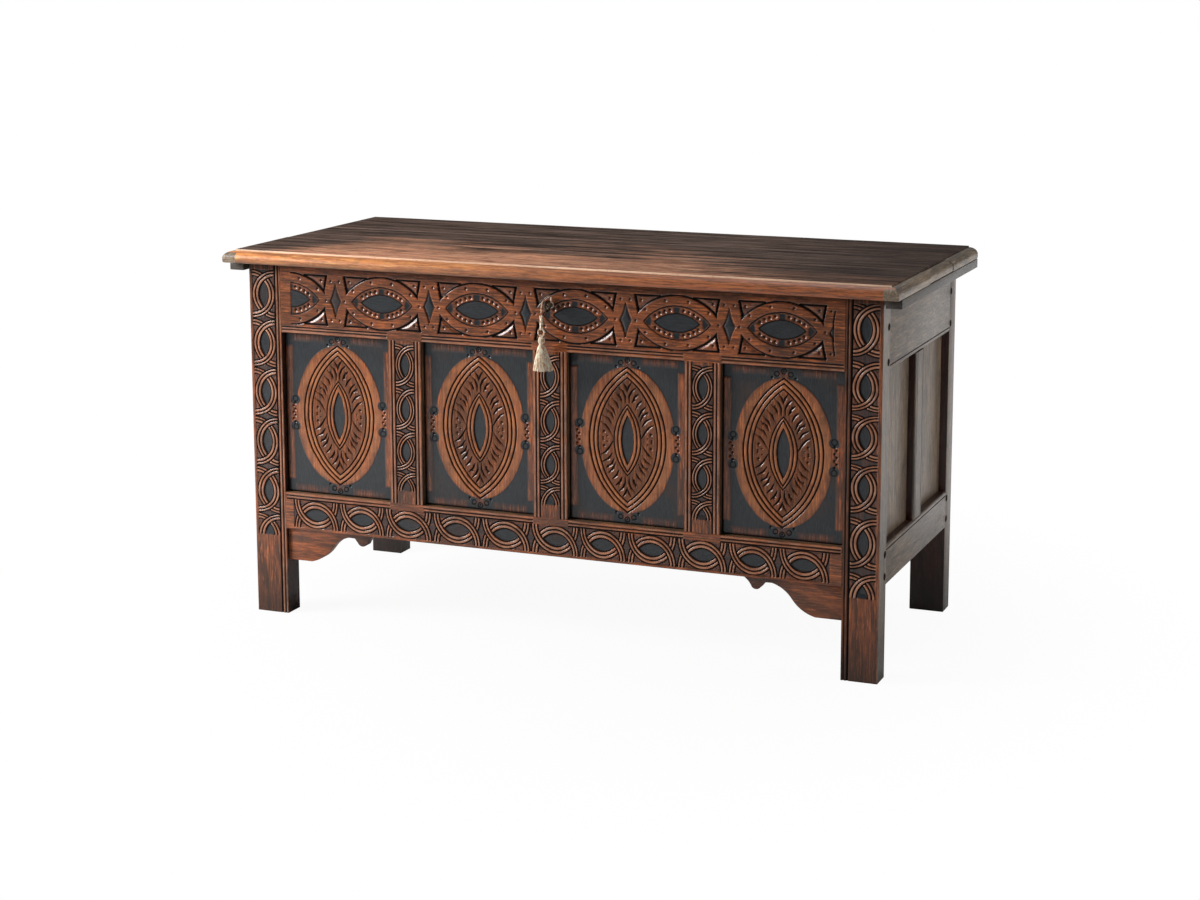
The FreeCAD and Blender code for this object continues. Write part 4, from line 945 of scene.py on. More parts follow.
def carved_board(name, node, corners, spacing, middle, seed, carve, skins, waviness=0.12):
    """A board between two corners whose front is cut by a relief worked in mm from a middle point.

    Its skins are those of the carved face, of the other faces and, where there is a third, of the narrow
    face that looks towards the middle of the chest.
    """
    low, high = corners
    width, depth, height = high - low
    bm = bmesh.new()
    bmesh.ops.create_grid(bm, x_segments=round(width / spacing), y_segments=round(height / spacing), size=0.5)
    bmesh.ops.scale(bm, vec=(width, height, 1), verts=bm.verts)
    bmesh.ops.rotate(bm, cent=(0, 0, 0), matrix=Matrix.Rotation(math.pi / 2, 3, "X"), verts=bm.verts)
    bmesh.ops.translate(bm, vec=((low.x + high.x) / 2, low.y, (low.z + high.z) / 2), verts=bm.verts)
    front = slice(0, len(bm.verts))
    front_faces = len(bm.faces)
    walls = bmesh.ops.extrude_edge_only(bm, edges=[e for e in bm.edges if e.is_boundary])["geom"]
    bmesh.ops.translate(bm, vec=(0, depth, 0), verts=of_kind(walls, bmesh.types.BMVert))
    bmesh.ops.contextual_create(bm, geom=[e for e in of_kind(walls, bmesh.types.BMEdge) if e.is_boundary])
    bmesh.ops.recalc_face_normals(bm, faces=bm.faces[:])
    mesh = settle(name, bm, "carcass", skins, node, smooth_angle=0).data
    places = np.empty(len(mesh.vertices) * 3, dtype=np.float32)
    mesh.vertices.foreach_get("co", places)
    places = places.reshape(-1, 3)
    u, w = ((places[front, n].astype(float) - centre) / MM for n, centre in zip((0, 2), middle))
    relief = Relief(u, w, seed)
    carve(relief)
    places[front, 1] += (relief.depth + waviness * (1 + relief.uneven)) * MM
    mesh.vertices.foreach_set("co", places.ravel())
    for layer in COLOURED:
        values = np.zeros(len(mesh.vertices), dtype=np.float32)
        values[front] = np.clip(getattr(relief, layer), 0, 1)
        mesh.attributes.new(layer, "FLOAT", "POINT").data.foreach_set("value", values)
    is_front = np.arange(len(mesh.polygons)) < front_faces
    mesh.polygons.foreach_set("use_smooth", is_front)
    part = np.where(is_front, 0, 1)
    # on the stiles the narrow face towards the middle takes the oak darkened by painted shade
    if len(skins) > 2:
        nearest = min(abs(low.x), abs(high.x))
        others = mesh.polygons[front_faces:]
        part[front_faces:][[abs(abs(face.center.x) - nearest) < NEAR for face in others]] = 2
    mesh.polygons.foreach_set("material_index", part.astype(np.int32))
    mesh.update()


# ---------------------------------------------------------------- stage

WHITE = (1, 1, 1, 1)
SKY = (0.93, 0.96, 1.0, 1)
LENS = {"sensor_width": 36.0, "lens": 68.619, "shift_x": -0.0272, "shift_y": -0.10, "clip_end": 200}
CAMERA_PLACE = (1.6740, -4.0680, 1.3065)
CAMERA_YAW = math.radians(21.606)
CAMERA_PITCH = math.radians(9.602)
# place, target, size in metres and power in watts
LAMPS = {
    "key_light": ((-2.3, -1.5, 1.6), (-0.2, -0.25, 0.45), 1.1, 99),
    "side_light": ((3.4, 0.5, 1.3), (0.6, 0.1, 0.35), 1.8, 44),
    "front_light": ((-2.5, -3.3, 1.2), (-0.4, 0, 0.4), 2.2, 12),
    "top_light": ((-0.4, 0.2, 3.4), (-0.2, 0, 0.5), 2.6, 22),
    "back_light": ((0.0, 3.0, 4.2), (0, 0, 0.4), 2.4, 30),
}


class COFFER_OT_stage(bpy.types.Operator):
    """Sets the camera, the floor and the studio light"""

    bl_idname = "coffer.stage"
    bl_label = "Stage"

    def execute(self, context):
        context.scene.view_settings.view_transform = "Standard"
        lens = bpy.data.cameras.new("camera")
        for key, value in LENS.items():
            setattr(lens, key, value)
        flat = math.cos(CAMERA_PITCH)
        look = Vector((-math.sin(CAMERA_YAW) * flat, math.cos(CAMERA_YAW) * flat, -math.sin(CAMERA_PITCH)))
        context.scene.camera = self.aimed(context, lens, CAMERA_PLACE, look)
        for name, (place, target, size, power) in LAMPS.items():
            lamp = bpy.data.lights.new(name, "AREA")
            lamp.shape = "SQUARE"
            lamp.size = size
            lamp.energy = power
            self.aimed(context, lamp, place, Vector(target) - Vector(place))
        self.light_room(context)
        self.lay_floor(context)
        return {"FINISHED"}

    def aimed(self, context, data, place, look):
        """A camera or a lamp that looks in a direction."""
        made = bpy.data.objects.new(data.name, data)
        made.location = place
        made.rotation_mode = "QUATERNION"
        made.rotation_quaternion = look.to_track_quat("-Z", "Y")
        context.scene.collection.objects.link(made)
        return made

    def light_room(self, context):
        """A world that is white to the camera and a faint sky to the pieces."""
        world = bpy.data.worlds.new("studio")
        context.scene.world = world
        world.use_nodes = True
        tree = world.node_tree
        tree.nodes.clear()
        mix = tree.nodes.new("ShaderNodeMixShader")
        tree.links.new(tree.nodes.new("ShaderNodeLightPath").outputs["Is Camera Ray"], mix.inputs[0])
        for socket, colour, strength in ((1, SKY, 0.11), (2, WHITE, 1.0)):
            glow = tree.nodes.new("ShaderNodeBackground")
            glow.inputs["Color"].default_value = colour
            glow.inputs["Strength"].default_value = strength
            tree.links.new(glow.outputs[0], mix.inputs[socket])
        tree.links.new(mix.outputs[0], tree.nodes.new("ShaderNodeOutputWorld").inputs["Surface"])

    def lay_floor(self, context):
        """A paper floor that goes over into the white room and keeps the chest's shadow."""
        bm = bmesh.new()
        bmesh.ops.create_grid(bm, x_segments=2, y_segments=2, size=60.0)
        mesh = bpy.data.meshes.new("floor")
        bm.to_mesh(mesh)
        bm.free()
        floor = bpy.data.objects.new("floor", mesh)
        context.scene.collection.objects.link(floor)
        f = Finish("floor_paper")
        f.surface((0.86, 0.86, 0.86, 1), 0.9, Specular_IOR_Level=0.1)
        away = f.node("ShaderNodeVectorMath", {0: f.place}, operation="LENGTH").outputs["Value"]
        glow = f.node("ShaderNodeEmission", {"Color": WHITE, "Strength": 1.0}).outputs[0]
        rays = f.node("ShaderNodeLightPath").outputs
        seen = f.times(rays["Is Camera Ray"], f.step(away, 0.5, 1.3, 0.94, 1.0))
        mirrored = f.times(f.times(f.step(f.y, 0.2, 1.0), f.step(away, 0.75, 1.4)), rays["Is Glossy Ray"])
        share = f.plus(seen, mirrored, clamp=True)
        blend = f.node("ShaderNodeMixShader", {0: share, 1: f.shader.outputs[0], 2: glow}).outputs[0]
        f.tree.links.new(blend, f.tree.nodes["Material Output"].inputs["Surface"])
        mesh.materials.append(f.material)


# ---------------------------------------------------------------- round pieces


def frames(line):
    """The line's points with two crosswise directions at each that turn with it as little as they can."""
    line = np.asarray(line, dtype=float)
    ahead = np.gradient(line, axis=0)
    if np.allclose(line[0], line[-1]):
        ahead[0] = ahead[-1] = line[1] - line[-2]
    ahead /= np.linalg.norm(ahead, axis=1, keepdims=True)
    first = np.cross(ahead[0], (0.0, 1.0, 0.0))
    if np.linalg.norm(first) < 0.3:
        first = np.cross(ahead[0], (1.0, 0.0, 0.0))
    across = np.empty_like(line)
    for n, direction in enumerate(ahead):
        first = first - direction * np.dot(first, direction)
        first = first / np.linalg.norm(first)
        across[n] = first
    return line, across, np.cross(ahead, across)


def tube(bm, line, radius, sides=6):
    """A closed tube along a line of points."""
    line, across, third = frames(line)
    steps = len(line) - 1
    verts = bmesh.ops.create_grid(bm, x_segments=steps, y_segments=sides, size=0.5)["verts"]
    for v in verts:
        n = round((v.co.x + 0.5) * steps)
        turn = 2 * math.pi * round((v.co.y + 0.5) * sides) / sides
        v.co = line[n] + radius * (across[n] * math.cos(turn) + third[n] * math.sin(turn))
    bmesh.ops.remove_doubles(bm, verts=verts, dist=float(radius) * 1e-3)
    bmesh.ops.holes_fill(bm, edges=[e for e in bm.edges if e.is_boundary], sides=sides)


def rope(bm, line, strands, width, pitch, sides=6):
    """Strands laid round a line into a rope of the given width."""
    line, across, third = frames(line)
    away = np.concatenate([[0], np.cumsum(np.linalg.norm(np.diff(line, axis=0), axis=1))])
    turns = away[-1] / pitch
    if np.allclose(line[0], line[-1]):
        turns = round(turns)
    thick = width / 2 / (1 + 1 / math.sin(math.pi / strands)) * 1.12
    lay = width / 2 - thick
    for number in range(strands):
        turn = 2 * math.pi * (number / strands + turns * away / away[-1])
        shifted = line + lay * (across * np.cos(turn)[:, None] + third * np.sin(turn)[:, None])
        tube(bm, shifted, thick, sides)


def circle(centre, radius, side, up, count=48):
    """The points of a closed circle spanned by two directions."""
    turns = np.linspace(0, 2 * math.pi, count + 1)
    centre, side, up = Vector(centre), Vector(side), Vector(up)
    points = [centre + radius * (math.cos(a) * side + math.sin(a) * up) for a in turns]
    points[-1] = points[0]
    return np.array(points)


def turned(bm, profile, centre, axis, side, steps=24):
    """A piece turned about an axis from its profile of (place along the axis, radius)."""
    centre, axis, side = Vector(centre), Vector(axis), Vector(side)
    verts = [bm.verts.new(centre + axis * along + side * radius) for along, radius in profile]
    edges = [bm.edges.new(pair) for pair in zip(verts, verts[1:])]
    bmesh.ops.spin(
        bm, geom=verts + edges, cent=centre, axis=axis, angle=2 * math.pi, steps=steps, use_merge=True
    )
    bmesh.ops.remove_doubles(bm, verts=bm.verts, dist=0.01 * MM)


# ---------------------------------------------------------------- cord and tassel

# the control points of the tassel's cord, from the key's neck over its bow and down
CORD_ROUTE = (
    (0.0060, -0.2629, 0.6582),
    (0.0062, -0.2629, 0.6642),
    (0.0056, -0.2677, 0.6682),
    (0.0048, -0.2769, 0.6682),
    (0.0038, -0.2867, 0.6656),
    (0.0028, -0.2951, 0.6606),
    (0.0021, -0.2988, 0.6526),
    (0.0020, -0.2991, 0.6438),
    (0.0020, -0.2990, 0.6354),
)
CORD_DIAMETER = 2.6 * MM
TASSEL_X, TASSEL_Y = CORD_ROUTE[-1][:2]
FLAT = ((1, 0, 0), (0, 1, 0))
FACING = ((1, 0, 0), (0, 0, 1))
RING_BAR = 2.2 * MM
HEAD_CORDS = 34
NECK = 3.3 * MM


def spline_points(route):
    """The points along the smooth line of a route."""
    curve = bpy.data.curves.new("route", "CURVE")
    curve.dimensions = "3D"
    curve.resolution_u = 24
    spline = curve.splines.new("NURBS")
    spline.points.add(len(route) - 1)
    for point, place in zip(spline.points, route):
        point.co = (*place, 1.0)
    spline.order_u = 3
    spline.use_endpoint_u = True
    holder = bpy.data.objects.new("route", curve)
    mesh = bpy.data.meshes.new_from_object(holder)
    points = [v.co.copy() for v in mesh.vertices]
    bpy.data.objects.remove(holder)
    bpy.data.curves.remove(curve)
    bpy.data.meshes.remove(mesh)
    return points


class COFFER_OT_tassel(bpy.types.Operator):
    """Lays the tassel's cord and ties the tassel"""

    bl_idname = "coffer.tassel"
    bl_label = "Cord and tassel"

    def execute(self, context):
        silk = thread("tassel_silk", 0.12)
        # the twisted cords take many brown patches of painted shade
        twist = thread("tassel_twist", 0.9)
        line = spline_points(CORD_ROUTE)
        tied = []

        def lay(bm, low, high):
            rope(bm, line, 2, CORD_DIAMETER, 4.6 * MM)

        for name, node, skin, make in (
            ("twisted_cord", "tassel_cord", twist, lay),
            ("hitch_knot", "tassel_hitch", twist, self.hitch),
            ("wrapped_loop", "tassel_loop", twist, self.loop),
            ("bound_head", "tassel_head", silk, self.head),
            ("thread_skirt", "tassel_skirt", silk, self.skirt),
        ):
            bm = bmesh.new()
            make(bm, *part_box(node))
            bmesh.ops.recalc_face_normals(bm, faces=bm.faces[:])
            tied.append(settle(name, bm, "tassel", [skin], node, smooth_angle=60))
        cord, hitch, loop = tied[:3]
        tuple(CORD_ROUTE[0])
        return {"FINISHED"}

    def hitch(self, bm, low, high):
        """The knot round the key's neck."""
        shank = Vector((CORD_ROUTE[0][0], (low.y + high.y) / 2, low.z + (high.x - low.x) / 2))
        reach = (high.x - low.x) / 2 - CORD_DIAMETER / 2
        rope(bm, circle(shank, reach, *FACING, 72), 2, CORD_DIAMETER, 4.2 * MM)
        top = shank + Vector((0, 0, reach + 0.9 * MM))
        rope(bm, circle(top, 1.0 * MM, (0.9, 0.3, 0), (0, 0.3, 0.9), 20), 2, 1.5 * MM, 3 * MM, sides=5)

    def loop(self, bm, low, high):
        """The ring that hangs from the cord, with its wrapped top."""
        reach = (high.x - low.x) / 2 - RING_BAR
        middle = low.z + RING_BAR + reach
        rope(bm, circle((TASSEL_X, TASSEL_Y, middle), reach, *FACING, 96), 3, 2 * RING_BAR * 0.86, 7.5 * MM)
        foot = middle + reach + RING_BAR * 0.4
        wrap = [Vector((TASSEL_X, TASSEL_Y, high.z + (foot - high.z) * n / 60)) for n in range(61)]
        rope(bm, wrap, 3, 7.0 * MM, 13 * MM, sides=8)
        for place in (high.z - 1.2 * MM, foot + 1.6 * MM):
            for turn in (-1, 0, 1):
                self.bind(bm, place + turn * MM, 3.3 * MM, 28)

    def bind(self, bm, height, radius, count):
        """One turn of thread round the tassel's axis."""
        tube(bm, circle((TASSEL_X, TASSEL_Y, height), radius, *FLAT, count), 0.6 * MM)

    def head(self, bm, low, high):
        """The bound head: cords laid over a core."""
        tall = high.z - low.z
        wide = (high.x - low.x) / 2
        dice = np.random.default_rng(5)
        for number in range(HEAD_CORDS):
            turn = 2 * math.pi * number / HEAD_CORDS
            points = []
            for rise in (step / 10 for step in range(11)):
                out = 3.9 * MM + (wide - 4.5 * MM) * math.sin(math.pi * min(1.0, rise * 1.04)) ** 0.8
                out *= 1 - 0.5 * max(0.0, rise - 0.8)
                points.append(
                    (TASSEL_X + out * math.cos(turn), TASSEL_Y + out * math.sin(turn), low.z + tall * rise)
                )
            tube(bm, points, 0.62 * MM * dice.uniform(0.85, 1.1), sides=5)
        core = [(0, 0), (0, 3.4 * MM), (0.3 * tall, wide * 0.8), (0.6 * tall, wide * 0.8)]
        core += [(0.98 * tall, 3.2 * MM), (tall, 0)]
        turned(bm, core, (TASSEL_X, TASSEL_Y, low.z), (0, 0, 1), (1, 0, 0))
        for turn in range(4):
            self.bind(bm, low.z + (0.4 + turn * 1.05) * MM, 4.35 * MM, 30)

    def skirt(self, bm, low, high):
        """Loose threads that hang and spread from the tassel's neck."""
        dice = np.random.default_rng(9)
        tall = high.z - low.z
        wide = (high.x - low.x) / 2 - 0.6 * MM
        for layer, count in ((1.0, 110), (0.86, 70), (0.6, 40)):
            for number in range(count):
                turn = 2 * math.pi * (number + dice.uniform(-0.4, 0.4)) / count
                reach = wide * layer * dice.uniform(0.93, 1.0)
                end = low.z + tall * dice.uniform(0.0, 0.02) + (1 - layer) * 2 * MM
                curl = dice.uniform(-0.12, 0.12)
                fuller = 0.78 + 0.06 * math.cos(turn)
                points = []
                for fall in (step / 8 for step in range(9)):
                    out = NECK * layer + (reach - NECK * layer) * fall**fuller
                    bend = turn + curl * fall * fall
                    points.append((
                        TASSEL_X + 3.2 * MM * fall + out * math.cos(bend), TASSEL_Y + out * math.sin(bend),
                        high.z + (end - high.z) * fall,
                    ))
                tube(bm, points, dice.uniform(0.42, 0.60) * MM, sides=4)


# ---------------------------------------------------------------- ironwork

BOW_HALF = 11.25 * MM
BOW_LENGTH = 28 * MM
BOW_RIM = 2 * MM
BORE = 16 * MM
# across and up from the bow's middle in mm: its pierced rings with their sizes, and its beads
BOW_RINGS = ((0, 3.7, 3.2), (0, -3.7, 3.2), (-6.3, 0, 2.7), (6.3, 0, 2.7))
BOW_BEADS = ((0, 0), (-3.4, 5.4), (3.4, 5.4), (-3.4, -5.4), (3.4, -5.4))
BEAD = [(-1.6, 0), (-1.2, 1.1), (0, 1.7), (1.2, 1.1), (1.6, 0)]
COLLAR = [(-2, 0), (-2, 2.0), (-0.5, 2.8), (-0.5, 4.1), (0, 4.6), (1.5, 4.6), (2.0, 4.1), (2.0, 3.0)]
# back from the shank's end and up from its axis, in mm
BIT = (
    (-1, -1.5), (-1, -14), (-4.2, -14), (-4.2, -10.5), (-5.6, -10.5), (-5.6, -14), (-9, -14),
    (-9, -11.8), (-10.6, -11.8), (-10.6, -14), (-13, -14), (-13, -1.5),
)


def in_mm(profile):
    return [(along * MM, radius * MM) for along, radius in profile]


class COFFER_OT_key(bpy.types.Operator):
    """Forges the key with its pierced bow"""

    bl_idname = "coffer.key"
    bl_label = "Key"

    def execute(self, context):
        low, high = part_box("key")
        x = (low.x + high.x) / 2
        z = high.z - BOW_HALF
        bm = bmesh.new()
        half_run = (BOW_LENGTH - 2 * BOW_HALF) / 2
        middle = low.y + BOW_LENGTH / 2
        outline = circle((x, middle, z), BOW_HALF - BOW_RIM, (0, 1, 0), (0, 0, 1), 64)
        for point in outline:
            point[1] += half_run if point[1] > middle else -half_run
        outline[-1] = outline[0]
        tube(bm, outline, BOW_RIM, sides=10)
        for dy, dz, size in BOW_RINGS:
            ring = circle((x, middle + dy * MM, z + dz * MM), size * MM, (0, 1, 0), (0, 0, 1), 28)
            tube(bm, ring, 0.9 * MM, sides=8)
        for dy, dz in BOW_BEADS:
            turned(bm, in_mm(BEAD), (x, middle + dy * MM, z + dz * MM), (1, 0, 0), (0, 1, 0), 12)
        neck = low.y + BOW_LENGTH
        run = high.y - neck
        shank = in_mm(COLLAR) + [(run * 0.6, 3.0 * MM), (run - 0.6 * MM, 3.0 * MM), (run, 2.5 * MM)]
        shank += [(run, 1.6 * MM), (run - BORE, 1.6 * MM), (run - BORE, 0)]
        turned(bm, shank, (x, neck, z), (0, 1, 0), (1, 0, 0), 28)
        bit = bm.faces.new([bm.verts.new((x - 1.5 * MM, high.y + dy * MM, z + dz * MM)) for dy, dz in BIT])
        grown = bmesh.ops.extrude_face_region(bm, geom=[bit])["geom"]
        bmesh.ops.translate(bm, vec=(3 * MM, 0, 0), verts=of_kind(grown, bmesh.types.BMVert))
        bmesh.ops.recalc_face_normals(bm, faces=bm.faces[:])
        steel = metal("key_steel", colours().key, 0.38, rust=0.5)
        settle("pierced_key", bm, "key", [steel], "key")
        return {"FINISHED"}


class COFFER_OT_ironwork(bpy.types.Operator):
    """Files the hinges, the lock and the staple"""

    bl_idname = "coffer.ironwork"
    bl_label = "Ironwork"

    def execute(self, context):
        pieces = {"lock_case": "carcass", "lock_bolt": "bolt", "lid_staple": "lid"}
        for side in ("left", "right"):
            pieces["hinge_leaf_" + side] = "carcass"
            pieces["hinge_strap_" + side] = "lid"
        for node, body in pieces.items():
            settle("filed_" + node, eased_copy(node, 0.35, 50), body, [old_iron()], node)
        return {"FINISHED"}


# ---------------------------------------------------------------- carved boards

# the seed of each stile's unevenness, its eyes' middles and that of the half eye at its foot, in mm
STILES = {
    "left": (11, (635.6, 539.4, 443.0, 344.6, 244.1), 155.4),
    "right": (17, (641.2, 535.6, 448.2, 357.1, 255.5), 153.8),
}


def middle_x(node):
    low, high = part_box(node)
    return (low.x + high.x) / 2


def opening():
    """The low and high Z of the front's panels."""
    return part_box("front_bottom_rail")[1].z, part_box("front_top_rail")[0].z


def carved_rail(name, node, spacing, seed, carve):
    """A carved rail between the front stiles."""
    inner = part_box("front_stile_right")[0].x
    skins = [front_oak_rail(), raw_oak("X")]
    carved_board(name, node, within(node, x=(-inner, inner)), spacing, (0, 0), seed, carve, skins)


class COFFER_OT_frieze(bpy.types.Operator):
    """Carves the front top rail"""

    bl_idname = "coffer.frieze"
    bl_label = "Frieze"

    def execute(self, context):
        carved_rail("carved_top_rail", "front_top_rail", 1.28 * MM, 31, carve_frieze)
        return {"FINISHED"}


class COFFER_OT_bottom_rail(bpy.types.Operator):
    """Carves the front bottom rail"""

    bl_idname = "coffer.bottom_rail"
    bl_label = "Bottom rail"

    def execute(self, context):
        carved_rail("carved_bottom_rail", "front_bottom_rail", 0.96 * MM, 47, carve_bottom_rail)
        return {"FINISHED"}


class COFFER_OT_stiles(bpy.types.Operator):
    """Carves the two front stiles"""

    bl_idname = "coffer.stiles"
    bl_label = "Front stiles"

    def execute(self, context):
        skins = [front_oak(), side_oak("Z"), edge_oak()]
        for side, (seed, eyes, foot) in STILES.items():
            node = "front_stile_" + side
            carved_board(
                "carved_stile_" + side, node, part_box(node), 0.92 * MM, (middle_x(node), 0), seed,
                lambda r: carve_stile(r, eyes, foot, side == "right"), skins,
            )
        return {"FINISHED"}


class COFFER_OT_muntins(bpy.types.Operator):
    """Carves the three front muntins"""

    bl_idname = "coffer.muntins"
    bl_label = "Front muntins"

    def execute(self, context):
        skins = [front_oak(), raw_oak("Z")]
        for seed, place in ((61, "left"), (66, "middle"), (71, "right")):
            node = "front_muntin_" + place
            carved_board(
                "carved_muntin_" + place, node, within(node, z=opening()), 0.82 * MM, (middle_x(node), 0),
                seed, carve_muntin, skins,
            )
        return {"FINISHED"}


class COFFER_OT_panels(bpy.types.Operator):
    """Carves the four front panels"""

    bl_idname = "coffer.panels"
    bl_label = "Front panels"

    def execute(self, context):
        skins = [panel_oak(), raw_oak("Z")]
        bottom, top = opening()
        half = 116.4 * MM
        for number in range(1, 5):
            node = "front_panel_%d" % number
            middle = middle_x(node)
            corners = within(node, x=(middle - half, middle + half), z=(bottom, top))
            carved_board(
                "carved_panel_%d" % number, node, corners, sizes().gouge_step, (middle, (top + bottom) / 2),
                80 + number * 3, carve_panel, skins, waviness=0.15,
            )
        return {"FINISHED"}


# ---------------------------------------------------------------- lid

# for each board of the lid, how much shorter it is at both ends in mm, and the seed of its unevenness
LID_BOARDS = {"front": (0.0, 5), "middle": (1.7, 6), "back": (0.8, 7)}
# the pieces each board is cut into along its length, so that its moulding can wander
LID_LENGTHS = 48
# where the thumbnail's round starts above the board's underside, and how far it rises, in mm
ROUND_FROM = 9.5
ROUND_RISE = 12.7


class COFFER_OT_lid(bpy.types.Operator):
    """Planes and moulds the three boards of the lid"""

    bl_idname = "coffer.lid"
    bl_label = "Lid"

    def execute(self, context):
        moulding = sizes().nosing * 0.93
        for place, (short, seed) in LID_BOARDS.items():
            node = "lid_board_" + place
            low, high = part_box(node)
            is_front = place == "front"
            bm = self.moulded(low, high, is_front, short * MM)
            self.ease_joints(bm, low, high, is_front)
            for step in range(1, LID_LENGTHS):
                cut_across(bm, 0, low.x + (high.x - low.x) * step / LID_LENGTHS)
            self.age(bm, low, high, seed)
            bm.normal_update()
            for face in bm.faces:
                middle = face.calc_center_median()
                if face.normal.z < -0.7:
                    face.material_index = 3
                elif abs(middle.x) > high.x - moulding:
                    face.material_index = 2
                elif middle.y < low.y + moulding and is_front:
                    face.material_index = 1
            settle("moulded_lid_" + place, bm, "lid", lid_skins(), node, smooth_angle=24)
        return {"FINISHED"}

    def moulded(self, low, high, is_front, short):
        """A board with a thumbnail moulding on its ends, and on its front edge if it is the front one."""
        deep = sizes().nosing
        thick = high.z - low.z
        rings = [(2.6 * MM, 0.0), (0.9 * MM, 0.8 * MM), (0.0, 3.2 * MM), (0.0, ROUND_FROM * MM)]
        for turn in (math.radians(90 * step / 8) for step in range(1, 9)):
            rise = (ROUND_FROM + ROUND_RISE * math.sin(turn)) * MM
            rings.append(((deep - 1.2 * MM) * (1 - math.cos(turn)), rise))
        rings += [(deep - 1.0 * MM, thick - 2.4 * MM), (deep - 0.7 * MM, thick - 0.8 * MM), (deep, thick)]
        bm = bmesh.new()
        bmesh.ops.create_grid(bm, x_segments=1, y_segments=1, size=0.5)
        face = bm.faces[:][0]
        for number, (inset, rise) in enumerate(rings):
            if number:
                grown = bmesh.ops.extrude_face_region(bm, geom=[face])["geom"]
                if number > 1:
                    bmesh.ops.delete(bm, geom=[face], context="FACES_ONLY")
                face = of_kind(grown, bmesh.types.BMFace)[0]
            for v in face.verts:
                right = v.co.x > (low.x + high.x) / 2 if number else v.co.x > 0
                back = v.co.y > (low.y + high.y) / 2 if number else v.co.y > 0
                end = inset + short
                v.co.x = high.x - end if right else low.x + end
                v.co.y = high.y if back else low.y + (inset if is_front else 0.0)
                v.co.z = low.z + rise
        bmesh.ops.recalc_face_normals(bm, faces=bm.faces[:])
        return bm

    def ease_joints(self, bm, low, high, is_front):
        """Wears the long edges where one board meets the next."""
        edges = []
        for e in bm.edges:
            a, b = e.verts[0].co, e.verts[1].co
            on_top = abs(a.z - high.z) <= TIGHT and abs(b.z - high.z) <= TIGHT
            at_joint = abs(a.y - high.y) < TIGHT or (abs(a.y - low.y) < TIGHT and not is_front)
            if abs(a.x - b.x) >= 0.5 and on_top and at_joint:
                edges.append(e)
        bevel(bm, edges, 1.6 * MM, 3)
        bmesh.ops.dissolve_degenerate(bm, dist=0.02 * MM, edges=bm.edges[:])

    def age(self, bm, low, high, seed):
        """Lets the moulding wander a little along its length, always inside the board."""
        for v in bm.verts:
            x, y = v.co.x / MM, v.co.y / MM
            worn = 0.5 + 0.5 * float(wander(np.array([x]), np.array([y * 0.3]), seed, 240.0)[0])
            if v.co.z > low.z + 4 * MM:
                v.co.z -= 0.5 * MM * worn
            if v.co.y < low.y + 22 * MM and v.co.z < high.z - 2 * MM:
                v.co.y += 0.7 * MM * worn


# ---------------------------------------------------------------- sides, back and small boards

BACK_EASING = 0.8 * MM
# the side mouldings: how far in from its edge a quirk runs, half its width and its depth
QUIRK_IN = 9 * MM
QUIRK_HALF = 1.2 * MM
QUIRK_DEPTH = 2.5 * MM


class COFFER_OT_sides(bpy.types.Operator):
    """Makes the framed and panelled sides with their run mouldings"""

    bl_idname = "coffer.sides"
    bl_label = "Sides"

    def execute(self, context):
        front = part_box("front_stile_right")[1].y
        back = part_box("back_stile_right")[0].y
        for side, sign in (("left", -1), ("right", 1)):
            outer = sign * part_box("front_stile_right")[1].x
            top = "side_top_rail_" + side
            bottom = "side_bottom_rail_" + side
            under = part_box(top)[0].z
            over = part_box(bottom)[1].z
            for node, edge, quirk in ((top, under, under + QUIRK_IN), (bottom, over, over - QUIRK_IN)):
                self.moulded(
                    node, within(node, y=(front, back)), outer, "Y", [(2, quirk)],
                    lambda a, b: abs(a.z - edge) < NEAR and abs(b.z - edge) < NEAR,
                )
            node = "side_muntin_" + side
            low, high = within(node, z=(over, under))
            quirks = [(1, low.y + QUIRK_IN), (1, high.y - QUIRK_IN)]
            self.moulded(node, (low, high), outer, "Z", quirks, lambda a, b: abs(a.z - b.z) > 0.1)
            for place in ("front", "back"):
                node = "side_panel_%s_%s" % (side, place)
                plain(eased_copy(node, 0.6, 40), node, side_panel_oak())
        return {"FINISHED"}

    def moulded(self, node, corners, outer, grain, quirks, is_arris):
        """A board of the side's frame, rounded at its outer arrises, with a quirk at each (axis, place)."""
        bm = block(*corners)
        edges = [e for e in bm.edges if all(abs(v.co.x - outer) < NEAR for v in e.verts)]
        bevel(bm, [e for e in edges if is_arris(*(v.co for v in e.verts))], 5 * MM, 4)
        ease(bm, 0.5 * MM)
        for axis, place in quirks:
            for offset in (-QUIRK_HALF, 0.0, QUIRK_HALF):
                cut_across(bm, axis, place + offset)
            sunk = [v for v in bm.verts if abs(v.co.x - outer) < TIGHT and abs(v.co[axis] - place) < TIGHT]
            bmesh.ops.translate(bm, vec=(-math.copysign(QUIRK_DEPTH, outer), 0, 0), verts=sunk)
        # faces that look into the recesses take the oak darkened by painted shade
        for face in bm.faces:
            face.material_index = int(abs(face.normal.x) < 0.5)
        plain(bm, node, side_oak(grain), edge_oak(), prefix="moulded_")


